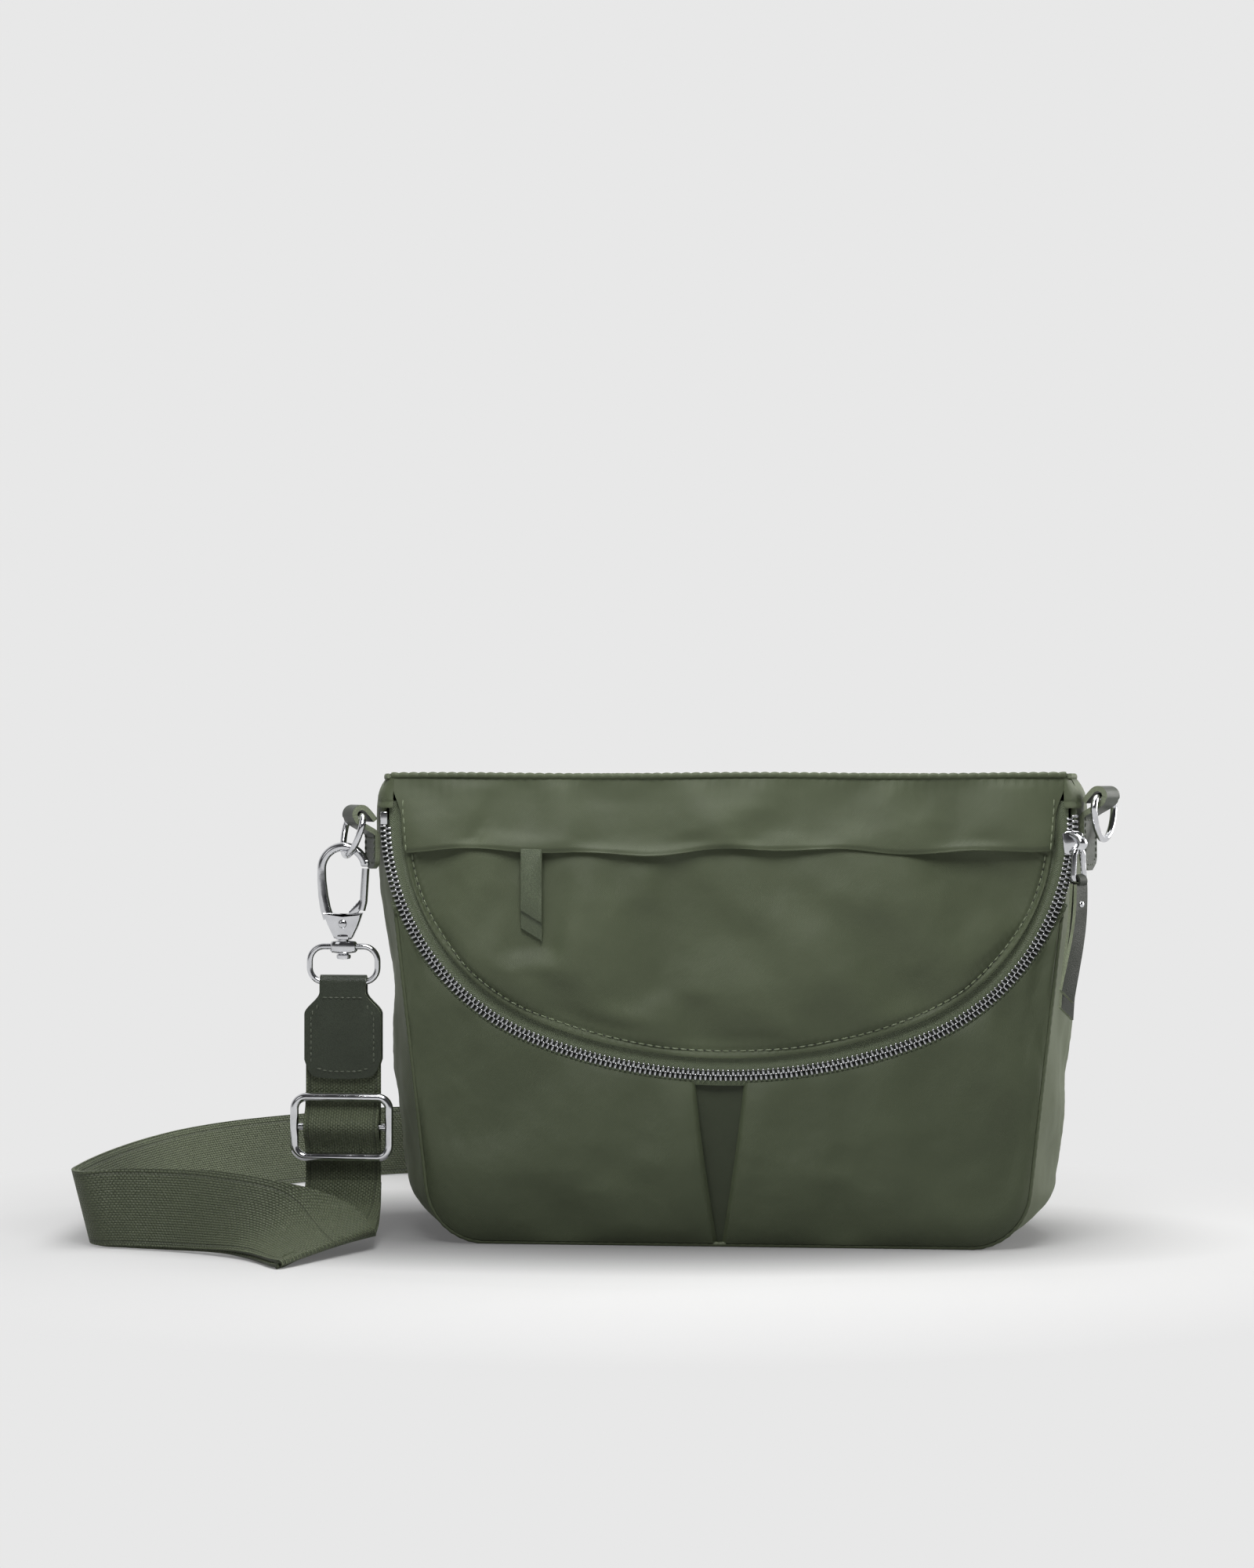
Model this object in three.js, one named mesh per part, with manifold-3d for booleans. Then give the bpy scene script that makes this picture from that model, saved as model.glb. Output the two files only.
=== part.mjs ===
// Crossbody purse: a soft nylon bag with a D-shaped zipped flap, an inverted pleat in front,
// leather D-ring tabs and a webbing shoulder strap with swivel hooks and a slide adjuster.
// Millimetres, +Z up, +X to the wearer's right in front view, the front faces -Y.
// The origin is the middle of the bag's base.

import * as THREE from 'three';
import { mergeVertices } from 'three/addons/utils/BufferGeometryUtils.js';
import Module from 'manifold-3d';

const wasm = await Module();
wasm.setup();

// Driving dimensions of the bag body
const HEIGHT = 198;
const BASE_HALF_WIDTH = 124.1;
const SIDE_SLOPE = 0.113;
const CORNER_RADIUS = 26;
const FRONT_Y = -44;
const BACK_Y = 42.2;
const BACK_LEAN = 7;
const CLOTH = 1.2;
const LINING = 0.6;
const GAP = 0.3;
const GUSSET_BULGE = 13;

// Zip track: two corner arcs joined by one long bottom arc
const TRACK_CORNER_X = 45;
const TRACK_CORNER_Z = 178;
const TRACK_CORNER_RADIUS = 98;
const TRACK_BOTTOM_Z = 71.6;
const ZIP_TOP_Z = 180.5;
const TEETH_WIDTH = 2.7;
const TEETH_SLIT = 0.2;
const TAPE_START = 3.2;
const TAPE_WIDTH = 7;

// Flap
const FLAP_HINGE_Z = 182;
const LIP_Z = 165.8;
const LIP_Y = -46.6;

// Strap
const WEB_WIDTH = 32;
const WEB_THICK = 1.4;
const HANG_X = -162.4;
const HANG_Y = -36;
const RING_BAR_Z = 109;
const ADJUSTER_Z = 48;

// Colours (sRGB) and finishes
const OLIVE = 0x505742;
const OLIVE_LIGHT = 0x6a7259;
const OLIVE_DARK = 0x3a4031;
const TAPE_GREEN = 0x4a523c;
const LEATHER = 0x3d4338;
const WEBBING = 0x5a6148;
const LINING_TAN = 0x8f8a78;
const STEEL = 0xc9cacc;
const BOARD_GREY = 0x55575a;

const CURVE_STEPS = 14;
const bag = new THREE.Group();

// ---------------------------------------------------------------- helpers

function toManifold(geometry) {
  const plain = geometry.clone();
  plain.deleteAttribute('normal');
  plain.deleteAttribute('uv');
  const merged = mergeVertices(plain, 1e-4);
  const mesh = new wasm.Mesh({
    numProp: 3,
    vertProperties: new Float32Array(merged.attributes.position.array),
    triVerts: new Uint32Array(merged.index.array),
  });
  return new wasm.Manifold(mesh);
}

function toGeometry(manifold) {
  const mesh = manifold.getMesh();
  const geometry = new THREE.BufferGeometry();
  geometry.setAttribute('position', new THREE.BufferAttribute(mesh.vertProperties, 3));
  geometry.setIndex(new THREE.BufferAttribute(mesh.triVerts, 1));
  return geometry;
}

function join(...geometries) {
  const solids = geometries.map(toManifold);
  return toGeometry(solids.reduce((sum, next) => sum.add(next)));
}

function cut(body, ...tools) {
  return toGeometry(tools.map(toManifold).reduce((rest, tool) => rest.subtract(tool), toManifold(body)));
}

function common(a, b) {
  return toGeometry(toManifold(a).intersect(toManifold(b)));
}

function add(name, geometry, color, roughness, metalness = 0, parent = bag) {
  const material = new THREE.MeshStandardMaterial({ color, roughness, metalness });
  const mesh = new THREE.Mesh(geometry, material);
  mesh.name = name;
  parent.add(mesh);
  return mesh;
}

const cloth = (name, geometry, color = OLIVE, parent = bag) => add(name, geometry, color, 0.75, 0, parent);
const leather = (name, geometry, parent = bag) => add(name, geometry, LEATHER, 0.5, 0, parent);
const metal = (name, geometry, parent = bag) => add(name, geometry, STEEL, 0.18, 1, parent);

// A box between two corners
function block(low, high) {
  const size = high.map((value, i) => value - low[i]);
  const geometry = new THREE.BoxGeometry(...size);
  geometry.translate(...low.map((value, i) => value + size[i] / 2));
  return geometry;
}

// A flat shape drawn in X and Z, thick from frontY to backY
function plate(shape, frontY, backY) {
  const geometry = new THREE.ExtrudeGeometry(shape, {
    depth: backY - frontY, bevelEnabled: false, curveSegments: CURVE_STEPS,
  });
  geometry.rotateX(Math.PI / 2);
  geometry.translate(0, backY, 0);
  return geometry;
}

// A flat shape drawn in Y and Z, thick from lowX to highX
function sidePlate(shape, lowX, highX) {
  const geometry = new THREE.ExtrudeGeometry(shape, {
    depth: highX - lowX, bevelEnabled: false, curveSegments: CURVE_STEPS,
  });
  const basis = new THREE.Matrix4().makeBasis(
    new THREE.Vector3(0, 1, 0), new THREE.Vector3(0, 0, 1), new THREE.Vector3(1, 0, 0));
  geometry.applyMatrix4(basis);
  geometry.translate(lowX, 0, 0);
  return geometry;
}

// A pin along Y at (x, z)
function pinY(x, z, radius, frontY, backY, sides = 16) {
  const geometry = new THREE.CylinderGeometry(radius, radius, backY - frontY, sides);
  geometry.translate(x, (frontY + backY) / 2, z);
  return geometry;
}

// A pin along Z at (0, 0)
function pinZ(radius, lowZ, highZ, sides = 20) {
  const geometry = new THREE.CylinderGeometry(radius, radius, highZ - lowZ, sides);
  geometry.rotateX(Math.PI / 2);
  geometry.translate(0, 0, (lowZ + highZ) / 2);
  return geometry;
}

function closedBody(positions, triangles) {
  const point = (i) => new THREE.Vector3(positions[3 * i], positions[3 * i + 1], positions[3 * i + 2]);
  let volume = 0;
  for (let i = 0; i < triangles.length; i += 3) {
    const [a, b, c] = [point(triangles[i]), point(triangles[i + 1]), point(triangles[i + 2])];
    volume += a.dot(b.cross(c));
  }
  if (volume < 0) {
    triangles.reverse();
  }
  const geometry = new THREE.BufferGeometry();
  geometry.setAttribute('position', new THREE.Float32BufferAttribute(positions, 3));
  geometry.setIndex(triangles);
  return geometry;
}

// A sheet of even thickness: surface(u, v) gives its outer face, inside lies towards -normal
function sheet(surface, stepsU, stepsV, thickness, lift = 0) {
  const positions = [];
  const triangles = [];
  const small = 1e-3;
  for (const depth of [lift, lift - thickness]) {
    for (let i = 0; i <= stepsU; i += 1) {
      for (let j = 0; j <= stepsV; j += 1) {
        const [u, v] = [i / stepsU, j / stepsV];
        const [u0, u1] = [Math.max(u - small, 0), Math.min(u + small, 1)];
        const [v0, v1] = [Math.max(v - small, 0), Math.min(v + small, 1)];
        const alongU = surface(u1, v).sub(surface(u0, v));
        const alongV = surface(u, v1).sub(surface(u, v0));
        const normal = alongU.cross(alongV).normalize();
        positions.push(...surface(u, v).addScaledVector(normal, depth).toArray());
      }
    }
  }
  const row = stepsV + 1;
  const layer = (stepsU + 1) * row;
  const quad = (a, b, c, d) => triangles.push(a, b, c, a, c, d);
  for (let i = 0; i < stepsU; i += 1) {
    for (let j = 0; j < stepsV; j += 1) {
      const a = i * row + j;
      quad(a, a + row, a + row + 1, a + 1);
      quad(layer + a, layer + a + 1, layer + a + row + 1, layer + a + row);
    }
  }
  for (let i = 0; i < stepsU; i += 1) {
    const near = i * row;
    const far = near + stepsV;
    quad(near, layer + near, layer + near + row, near + row);
    quad(far, far + row, layer + far + row, layer + far);
  }
  for (let j = 0; j < stepsV; j += 1) {
    const last = stepsU * row + j;
    quad(j, j + 1, layer + j + 1, layer + j);
    quad(last, layer + last, layer + last + 1, last + 1);
  }
  return closedBody(positions, triangles);
}

// A round wire along points of a plane curve; across is the plane's normal
function wire(points, radius, across, closed, sides = 10) {
  const positions = [];
  const triangles = [];
  const count = points.length;
  const at = (i) => (closed ? points[(i + count) % count] : points[Math.min(Math.max(i, 0), count - 1)]);
  for (let i = 0; i < count; i += 1) {
    const tangent = at(i + 1).clone().sub(at(i - 1)).normalize();
    const side = tangent.clone().cross(across).normalize();
    for (let k = 0; k < sides; k += 1) {
      const angle = 2 * Math.PI * k / sides;
      const rim = points[i].clone().addScaledVector(side, radius * Math.cos(angle));
      positions.push(...rim.addScaledVector(across, radius * Math.sin(angle)).toArray());
    }
  }
  const rings = closed ? count : count - 1;
  for (let i = 0; i < rings; i += 1) {
    for (let k = 0; k < sides; k += 1) {
      const next = (k + 1) % sides;
      const [a, b] = [i * sides, ((i + 1) % count) * sides];
      triangles.push(a + k, b + k, b + next, a + k, b + next, a + next);
    }
  }
  if (!closed) {
    const last = (count - 1) * sides;
    for (let k = 1; k < sides - 1; k += 1) {
      triangles.push(0, k, k + 1, last, last + k + 1, last + k);
    }
  }
  return closedBody(positions, triangles);
}

const inXZ = (points) => points.map((p) => new THREE.Vector3(p.x, 0, p.y));
const inYZ = (points) => points.map((p) => new THREE.Vector3(0, p.x, p.y));
const ALONG_Y = new THREE.Vector3(0, 1, 0);
const ALONG_X = new THREE.Vector3(1, 0, 0);

// A rounded rectangle about (0, middleZ), as points in its plane
function roundedLoop(halfWidth, halfHeight, radius, middle = 0, steps = 5) {
  const points = [];
  const corners = [[1, 1, 0], [-1, 1, 1], [-1, -1, 2], [1, -1, 3]];
  for (const [sx, sy, quarter] of corners) {
    for (let i = 0; i <= steps; i += 1) {
      const angle = (quarter + i / steps) * Math.PI / 2;
      points.push(new THREE.Vector2(
        sx * (halfWidth - radius) + radius * Math.cos(angle),
        middle + sy * (halfHeight - radius) + radius * Math.sin(angle)));
    }
  }
  return points;
}

// ---------------------------------------------------------------- bag outline

const SLOPE_ANGLE = Math.atan(SIDE_SLOPE);
const CORNER_X = BASE_HALF_WIDTH + SIDE_SLOPE * CORNER_RADIUS - CORNER_RADIUS / Math.cos(SLOPE_ANGLE);

const halfWidthAt = (z) => BASE_HALF_WIDTH + SIDE_SLOPE * z;
const backYAt = (z) => BACK_Y - CLOTH - BACK_LEAN * z / HEIGHT;

// The front outline: straight splayed sides, round bottom corners, set in by inset
function traceOutline(path, inset, topZ) {
  const radius = CORNER_RADIUS - inset;
  const topX = halfWidthAt(topZ) - inset / Math.cos(SLOPE_ANGLE);
  path.moveTo(-topX, topZ);
  path.lineTo(-CORNER_X - radius * Math.cos(SLOPE_ANGLE), CORNER_RADIUS - radius * Math.sin(SLOPE_ANGLE));
  path.absarc(-CORNER_X, CORNER_RADIUS, radius, Math.PI + SLOPE_ANGLE, 1.5 * Math.PI, false);
  path.absarc(CORNER_X, CORNER_RADIUS, radius, 1.5 * Math.PI, 2 * Math.PI - SLOPE_ANGLE, false);
  path.lineTo(topX, topZ);
}

function outline(inset, topZ) {
  const shape = new THREE.Shape();
  traceOutline(shape, inset, topZ);
  shape.closePath();
  return shape;
}

// How far the soft side panel bows outwards at height z
function bulgeAt(z) {
  const offset = z / HEIGHT - 0.33;
  return GUSSET_BULGE * (1 - 1.3 * offset * offset);
}

// Side panel: runs down the side and round the bottom corner
function gussetSurface(side, topZ, inset) {
  const arc = Math.PI / 2 - SLOPE_ANGLE;
  const radius = CORNER_RADIUS - inset;
  const sideLength = topZ - CORNER_RADIUS;
  const total = sideLength + radius * arc;
  return (u, v) => {
    const along = u * total;
    const onArc = THREE.MathUtils.clamp((along - sideLength) / (radius * arc), 0, 0.9999);
    const angle = -SLOPE_ANGLE - onArc * arc;
    const z = onArc > 0 ? CORNER_RADIUS + radius * Math.sin(angle)
      : topZ - along * (topZ - CORNER_RADIUS + radius * Math.sin(SLOPE_ANGLE)) / sideLength;
    const x = onArc > 0 ? CORNER_X + radius * Math.cos(angle) : halfWidthAt(z) - inset / Math.cos(SLOPE_ANGLE);
    const bow = bulgeAt(z) * 4 * v * (1 - v) * (onArc > 0 ? Math.cos(onArc * Math.PI / 2) ** 1.5 : 1);
    const frontEdge = FRONT_Y + CLOTH + 2 * GAP + 1.5 + inset;
    const y = frontEdge + v * (backYAt(z) - GAP - inset - frontEdge);
    return new THREE.Vector3(side * (x + bow), y, z);
  };
}

// ---------------------------------------------------------------- zip track

const TRACK_DROP = TRACK_CORNER_Z - TRACK_CORNER_RADIUS - TRACK_BOTTOM_Z;
const TRACK_TURN = Math.PI / 2 - 2 * Math.atan(TRACK_DROP / TRACK_CORNER_X);
const TRACK_EXTRA = TRACK_CORNER_X / Math.cos(TRACK_TURN);
const TRACK_BOTTOM_RADIUS = TRACK_CORNER_RADIUS + TRACK_EXTRA;
const TRACK_BOTTOM_CENTRE_Z = TRACK_CORNER_Z + TRACK_EXTRA * Math.sin(TRACK_TURN);

// Draws the track's curve moved outwards by offset, from the left top to the right top or back
function traceTrack(shape, offset, backwards) {
  const corner = TRACK_CORNER_RADIUS + offset;
  const bottom = TRACK_BOTTOM_RADIUS + offset;
  const left = [-TRACK_CORNER_X, TRACK_CORNER_Z, corner, Math.PI, Math.PI + TRACK_TURN];
  const middle = [0, TRACK_BOTTOM_CENTRE_Z, bottom, Math.PI + TRACK_TURN, 2 * Math.PI - TRACK_TURN];
  const right = [TRACK_CORNER_X, TRACK_CORNER_Z, corner, 2 * Math.PI - TRACK_TURN, 2 * Math.PI];
  const order = backwards ? [right, middle, left] : [left, middle, right];
  for (const [x, z, radius, from, to] of order) {
    shape.absarc(x, z, radius, backwards ? to : from, backwards ? from : to, backwards);
  }
}

const trackTopX = (offset) => TRACK_CORNER_X + TRACK_CORNER_RADIUS + offset;

// The region inside the track, up to topZ
function insideTrack(offset, topZ) {
  const shape = new THREE.Shape();
  shape.moveTo(-trackTopX(offset), topZ);
  shape.lineTo(-trackTopX(offset), TRACK_CORNER_Z);
  traceTrack(shape, offset, false);
  shape.lineTo(trackTopX(offset), topZ);
  shape.closePath();
  return shape;
}

// A strip that follows the track, from offset inner to offset outer
function trackStrip(inner, outer, topZ) {
  const shape = new THREE.Shape();
  shape.moveTo(-trackTopX(outer), topZ);
  shape.lineTo(-trackTopX(outer), TRACK_CORNER_Z);
  traceTrack(shape, outer, false);
  shape.lineTo(trackTopX(outer), topZ);
  shape.lineTo(trackTopX(inner), topZ);
  traceTrack(shape, inner, true);
  shape.lineTo(-trackTopX(inner), topZ);
  shape.closePath();
  return shape;
}

// ---------------------------------------------------------------- bag body

const PLEAT_X = -2.6;
const PLEAT_HALF_TOP = 10;
const PLEAT_BOTTOM_Z = 3;
const FRONT_ARM_TOP = 140;
const SHELL_TOP = 196.3;
const TAPE_FRONT = FRONT_Y + CLOTH + GAP;
const TAPE_BACK = TAPE_FRONT + 0.6;
const LINING_FRONT = TAPE_BACK + GAP;

function buildFront() {
  const pleat = new THREE.Shape();
  const mouthZ = TRACK_BOTTOM_Z + 6;
  pleat.moveTo(PLEAT_X - PLEAT_HALF_TOP, mouthZ);
  pleat.quadraticCurveTo(PLEAT_X - PLEAT_HALF_TOP * 0.75, 34, PLEAT_X, PLEAT_BOTTOM_Z);
  pleat.quadraticCurveTo(PLEAT_X + PLEAT_HALF_TOP * 0.75, 34, PLEAT_X + PLEAT_HALF_TOP, mouthZ);
  pleat.closePath();
  const panel = plate(outline(1.6, FRONT_ARM_TOP), FRONT_Y, FRONT_Y + CLOTH);
  const mouth = plate(insideTrack(TAPE_START, 300), FRONT_Y - 5, FRONT_Y + 5);
  cloth('front_panel', cut(panel, mouth, plate(pleat, FRONT_Y - 5, FRONT_Y + 5)));

  const underlay = block([PLEAT_X - 18, TAPE_FRONT, 4], [PLEAT_X + 18, TAPE_BACK, TRACK_BOTTOM_Z + 3]);
  const clearTape = plate(insideTrack(TAPE_START + TAPE_WIDTH + GAP, 300), FRONT_Y, FRONT_Y + 8);
  cloth('pleat_underlay', cut(underlay, clearTape), OLIVE_DARK);

  const lining = plate(outline(4, FRONT_ARM_TOP), LINING_FRONT, LINING_FRONT + LINING);
  cloth('lining_front', cut(lining, mouth.clone()), LINING_TAN);
}

function buildBack() {
  const lean = (geometry) => {
    const shear = new THREE.Matrix4().makeShear(0, 0, 0, 0, 0, -BACK_LEAN / HEIGHT);
    return geometry.applyMatrix4(shear);
  };
  cloth('back_panel', lean(plate(outline(0.4, SHELL_TOP), BACK_Y - CLOTH, BACK_Y)));
  const liningBack = BACK_Y - CLOTH - GAP;
  cloth('lining_back', lean(plate(outline(4, SHELL_TOP - 2), liningBack - LINING, liningBack)), LINING_TAN);
  const pocket = block([-70, liningBack - 2 * LINING - GAP, 60], [70, liningBack - LINING - GAP, 150]);
  cloth('interior_slip_pocket', lean(pocket), LINING_TAN);
}

function buildGussets() {
  for (const [word, side] of [['left', -1], ['right', 1]]) {
    const outer = gussetSurface(side, SHELL_TOP, 0);
    const turned = side > 0 ? outer : (u, v) => outer(u, 1 - v);
    cloth(`gusset_${word}`, sheet(turned, 16, 6, CLOTH), OLIVE_LIGHT);
    const inner = gussetSurface(side, SHELL_TOP - 2, CLOTH + GAP + 0.4);
    const innerTurned = side > 0 ? inner : (u, v) => inner(u, 1 - v);
    cloth(`lining_gusset_${word}`, sheet(innerTurned, 16, 6, LINING), LINING_TAN);
  }
}

function buildBase() {
  const reach = CORNER_X - GAP;
  const frontEdge = FRONT_Y + CLOTH + 2 * GAP + 1.5;
  cloth('bottom_panel', block([-reach, frontEdge, 0], [reach, BACK_Y - CLOTH - GAP, CLOTH]));
  add('base_board', block([-reach + 4, frontEdge + 4, CLOTH + GAP], [reach - 4, BACK_Y - 6, CLOTH + GAP + 1.5]),
    BOARD_GREY, 0.6);
  const liningZ = CLOTH + 2 * GAP + 1.5;
  cloth('lining_bottom', block([-reach + 3, frontEdge + 3, liningZ], [reach - 3, BACK_Y - 5, liningZ + LINING]),
    LINING_TAN);
}

function buildTop() {
  const halfTop = halfWidthAt(HEIGHT) - 0.6;
  const topBack = BACK_Y - BACK_LEAN;
  cloth('top_panel', block([-halfTop, LIP_Y, HEIGHT - CLOTH], [halfTop, topBack, HEIGHT]), OLIVE_LIGHT);
  const bandHalf = trackTopX(0) - 1.5;
  const bandTop = HEIGHT - CLOTH - GAP;
  cloth('flap_top_band', block([-bandHalf, LIP_Y, FLAP_HINGE_Z + GAP], [bandHalf, LIP_Y + CLOTH, bandTop]),
    OLIVE_LIGHT);
  for (const [word, side] of [['left', -1], ['right', 1]]) {
    const inner = bandHalf + GAP;
    const cap = block([inner, LIP_Y, FLAP_HINGE_Z + GAP], [halfTop, FRONT_Y + 2.4, bandTop]);
    if (side < 0) {
      cap.rotateZ(Math.PI);
      cap.translate(0, LIP_Y + FRONT_Y + 2.4, 0);
    }
    cloth(`corner_cap_${word}`, cap, OLIVE_LIGHT);
  }
}

// A rolled seam round the outline, standing between the panel and the side strip
function buildPiping() {
  const radius = 0.65;
  const path = new THREE.Path();
  traceOutline(path, radius + 0.05, FRONT_ARM_TOP);
  const piping = wire(inXZ(path.getPoints(8)), radius, ALONG_Y, false, 8);
  piping.translate(0, FRONT_Y + CLOTH + GAP + radius, 0);
  cloth('front_piping', piping);
}

// ---------------------------------------------------------------- main zip and flap

const TEETH_FRONT = FRONT_Y - 0.2;
const TEETH_BACK = FRONT_Y + 2.3;

function buildZip(flap) {
  const teeth = (inner, outer) => plate(trackStrip(inner, outer, ZIP_TOP_Z), TEETH_FRONT, TEETH_BACK);
  metal('zip_teeth_body', teeth(TEETH_SLIT, TEETH_SLIT + TEETH_WIDTH));
  metal('zip_teeth_flap', teeth(-TEETH_SLIT - TEETH_WIDTH, -TEETH_SLIT), flap);
  const tapeEnd = TAPE_START + TAPE_WIDTH;
  const bodyTape = plate(trackStrip(TAPE_START, tapeEnd, ZIP_TOP_Z), TAPE_FRONT, TAPE_BACK);
  const inside = plate(outline(3.2, FRONT_ARM_TOP - 6), FRONT_Y - 5, FRONT_Y + 5);
  cloth('zip_tape_body', common(bodyTape, inside), TAPE_GREEN);
  const flapTape = plate(trackStrip(-tapeEnd, -TAPE_START, ZIP_TOP_Z), TAPE_FRONT, TAPE_BACK);
  cloth('zip_tape_flap', flapTape, TAPE_GREEN, flap);
  const stopX = -trackTopX(0);
  metal('zip_stop', block([stopX - 2.9, TEETH_FRONT, ZIP_TOP_Z + 0.2], [stopX - 0.2, TEETH_BACK, ZIP_TOP_Z + 1.6]));
}

function buildFlap(flap) {
  const edge = -7;
  const region = plate(insideTrack(edge, FLAP_HINGE_Z), FRONT_Y, FRONT_Y + CLOTH);
  const belowLip = block([-200, FRONT_Y - 5, 0], [200, FRONT_Y + 5, LIP_Z - 1.2]);
  cloth('flap_panel', common(region, belowLip), OLIVE, flap);
  const lipRegion = plate(insideTrack(edge, FLAP_HINGE_Z - GAP), LIP_Y, LIP_Y + CLOTH);
  const aboveLip = block([-200, LIP_Y - 5, LIP_Z], [200, LIP_Y + 5, 300]);
  cloth('flap_pocket_lip', common(lipRegion, aboveLip), OLIVE_LIGHT, flap);
  const lining = plate(insideTrack(edge + 3, FLAP_HINGE_Z - GAP), LINING_FRONT, LINING_FRONT + LINING);
  cloth('flap_lining', lining, LINING_TAN, flap);
  const chain = block([-122, TAPE_FRONT, LIP_Z - 8], [122, TAPE_BACK, LIP_Z + 8]);
  add('pocket_zip_chain', chain, TAPE_GREEN, 0.6, 0, flap);
}

// ---------------------------------------------------------------- sliders and pulls

const SLIDER_Z = 169;
const PULL_PIVOT_Z = 166;
const SLIDER_FRONT = TEETH_FRONT - GAP;
const PULL_TURN = 45 * Math.PI / 180;
const PULL_OUT = 3.2;

// A leather pull: one layer, from its top edge down to a slanted end
function pullShape(topX, topZ, topHalf, endX, endZ, endHalf, slant) {
  const shape = new THREE.Shape();
  shape.moveTo(topX - topHalf, topZ);
  shape.lineTo(endX - endHalf, endZ + slant);
  shape.lineTo(endX + endHalf, endZ);
  shape.lineTo(topX + topHalf, topZ);
  shape.closePath();
  return shape;
}

function buildMainSlider(flap) {
  const x = trackTopX(0);
  const face = new THREE.Shape();
  face.moveTo(x - 4.2, SLIDER_Z + 3.6);
  face.lineTo(x - 3.2, SLIDER_Z - 4.4);
  face.lineTo(x + 3.2, SLIDER_Z - 4.4);
  face.lineTo(x + 4.2, SLIDER_Z + 3.6);
  face.closePath();
  const crown = new THREE.Shape();
  crown.moveTo(0.4, 2.6);
  crown.quadraticCurveTo(-6.6, 2, -6, -4.2);
  crown.lineTo(-4.7, -4.2);
  crown.quadraticCurveTo(-4.4, 0.2, 0.4, 0.8);
  crown.closePath();
  const bar = sidePlate(crown, -1.2, 1.2);
  bar.rotateZ(PULL_TURN);
  bar.translate(x, SLIDER_FRONT - 1.3, SLIDER_Z);
  metal('main_slider_body', join(plate(face, SLIDER_FRONT - 1.5, SLIDER_FRONT), bar), flap);

  const hang = new THREE.Group();
  hang.position.set(x + PULL_OUT * Math.sin(PULL_TURN), SLIDER_FRONT - 1.3 - PULL_OUT * Math.cos(PULL_TURN), 0);
  hang.rotation.z = PULL_TURN;
  flap.add(hang);
  const link = wire(inXZ(roundedLoop(2.7, 6.2, 1.9, PULL_PIVOT_Z - 6.4)), 0.9, ALONG_Y, true, 8);
  metal('main_puller_link', link, hang);

  const tabTop = PULL_PIVOT_Z - 14;
  const layers = [
    ['main_pull_front', -1.8, -0.2, -48.5, -6.5],
    ['main_pull_back', 0.2, 1.6, -56, -3.4],
  ];
  for (const [name, frontY, backY, drop, lean] of layers) {
    const layer = plate(pullShape(0, 0, 3.4, 0, drop, 3.8, 5.5), frontY, backY);
    layer.applyMatrix4(new THREE.Matrix4().makeShear(0, 0, 0, 0, lean / drop, 0));
    layer.translate(0, 0, tabTop);
    leather(name, layer, hang);
  }
  metal('main_pull_rivet', pinY(-1.2, tabTop - 9, 1, -2.9, -1.8 - GAP, 12), hang);
}

const POCKET_PULL_X = -81;
const POCKET_PULL_TOP = LIP_Z - GAP;

function buildPocketSlider(flap) {
  const y = FRONT_Y - GAP;
  metal('pocket_slider', block([POCKET_PULL_X - 2.6, y - 0.7, LIP_Z - 0.1], [POCKET_PULL_X + 2.6, y, LIP_Z + 7]), flap);
  const front = pullShape(POCKET_PULL_X, POCKET_PULL_TOP, 4.4, POCKET_PULL_X, LIP_Z - 31, 4.4, 5.5);
  const back = pullShape(POCKET_PULL_X, POCKET_PULL_TOP, 4.4, POCKET_PULL_X, LIP_Z - 38.5, 4.4, 5.5);
  leather('pocket_pull_front', plate(front, y - 2, y - 1.1), flap);
  leather('pocket_pull_back', plate(back, y - 0.8, y), flap);
}

// ---------------------------------------------------------------- D-rings and their tabs

const TAB_X = 150.4;
const TAB_Y = -31;
const TAB_TURN = 28 * Math.PI / 180;
const TAB_HALF_WIDTH = 7.6;
const LOOP_OUT = 7.5;
const DRING_WIRE = 1.4;
const DRING_HALF = 11;
const DRING_DEPTH = 18;

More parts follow.
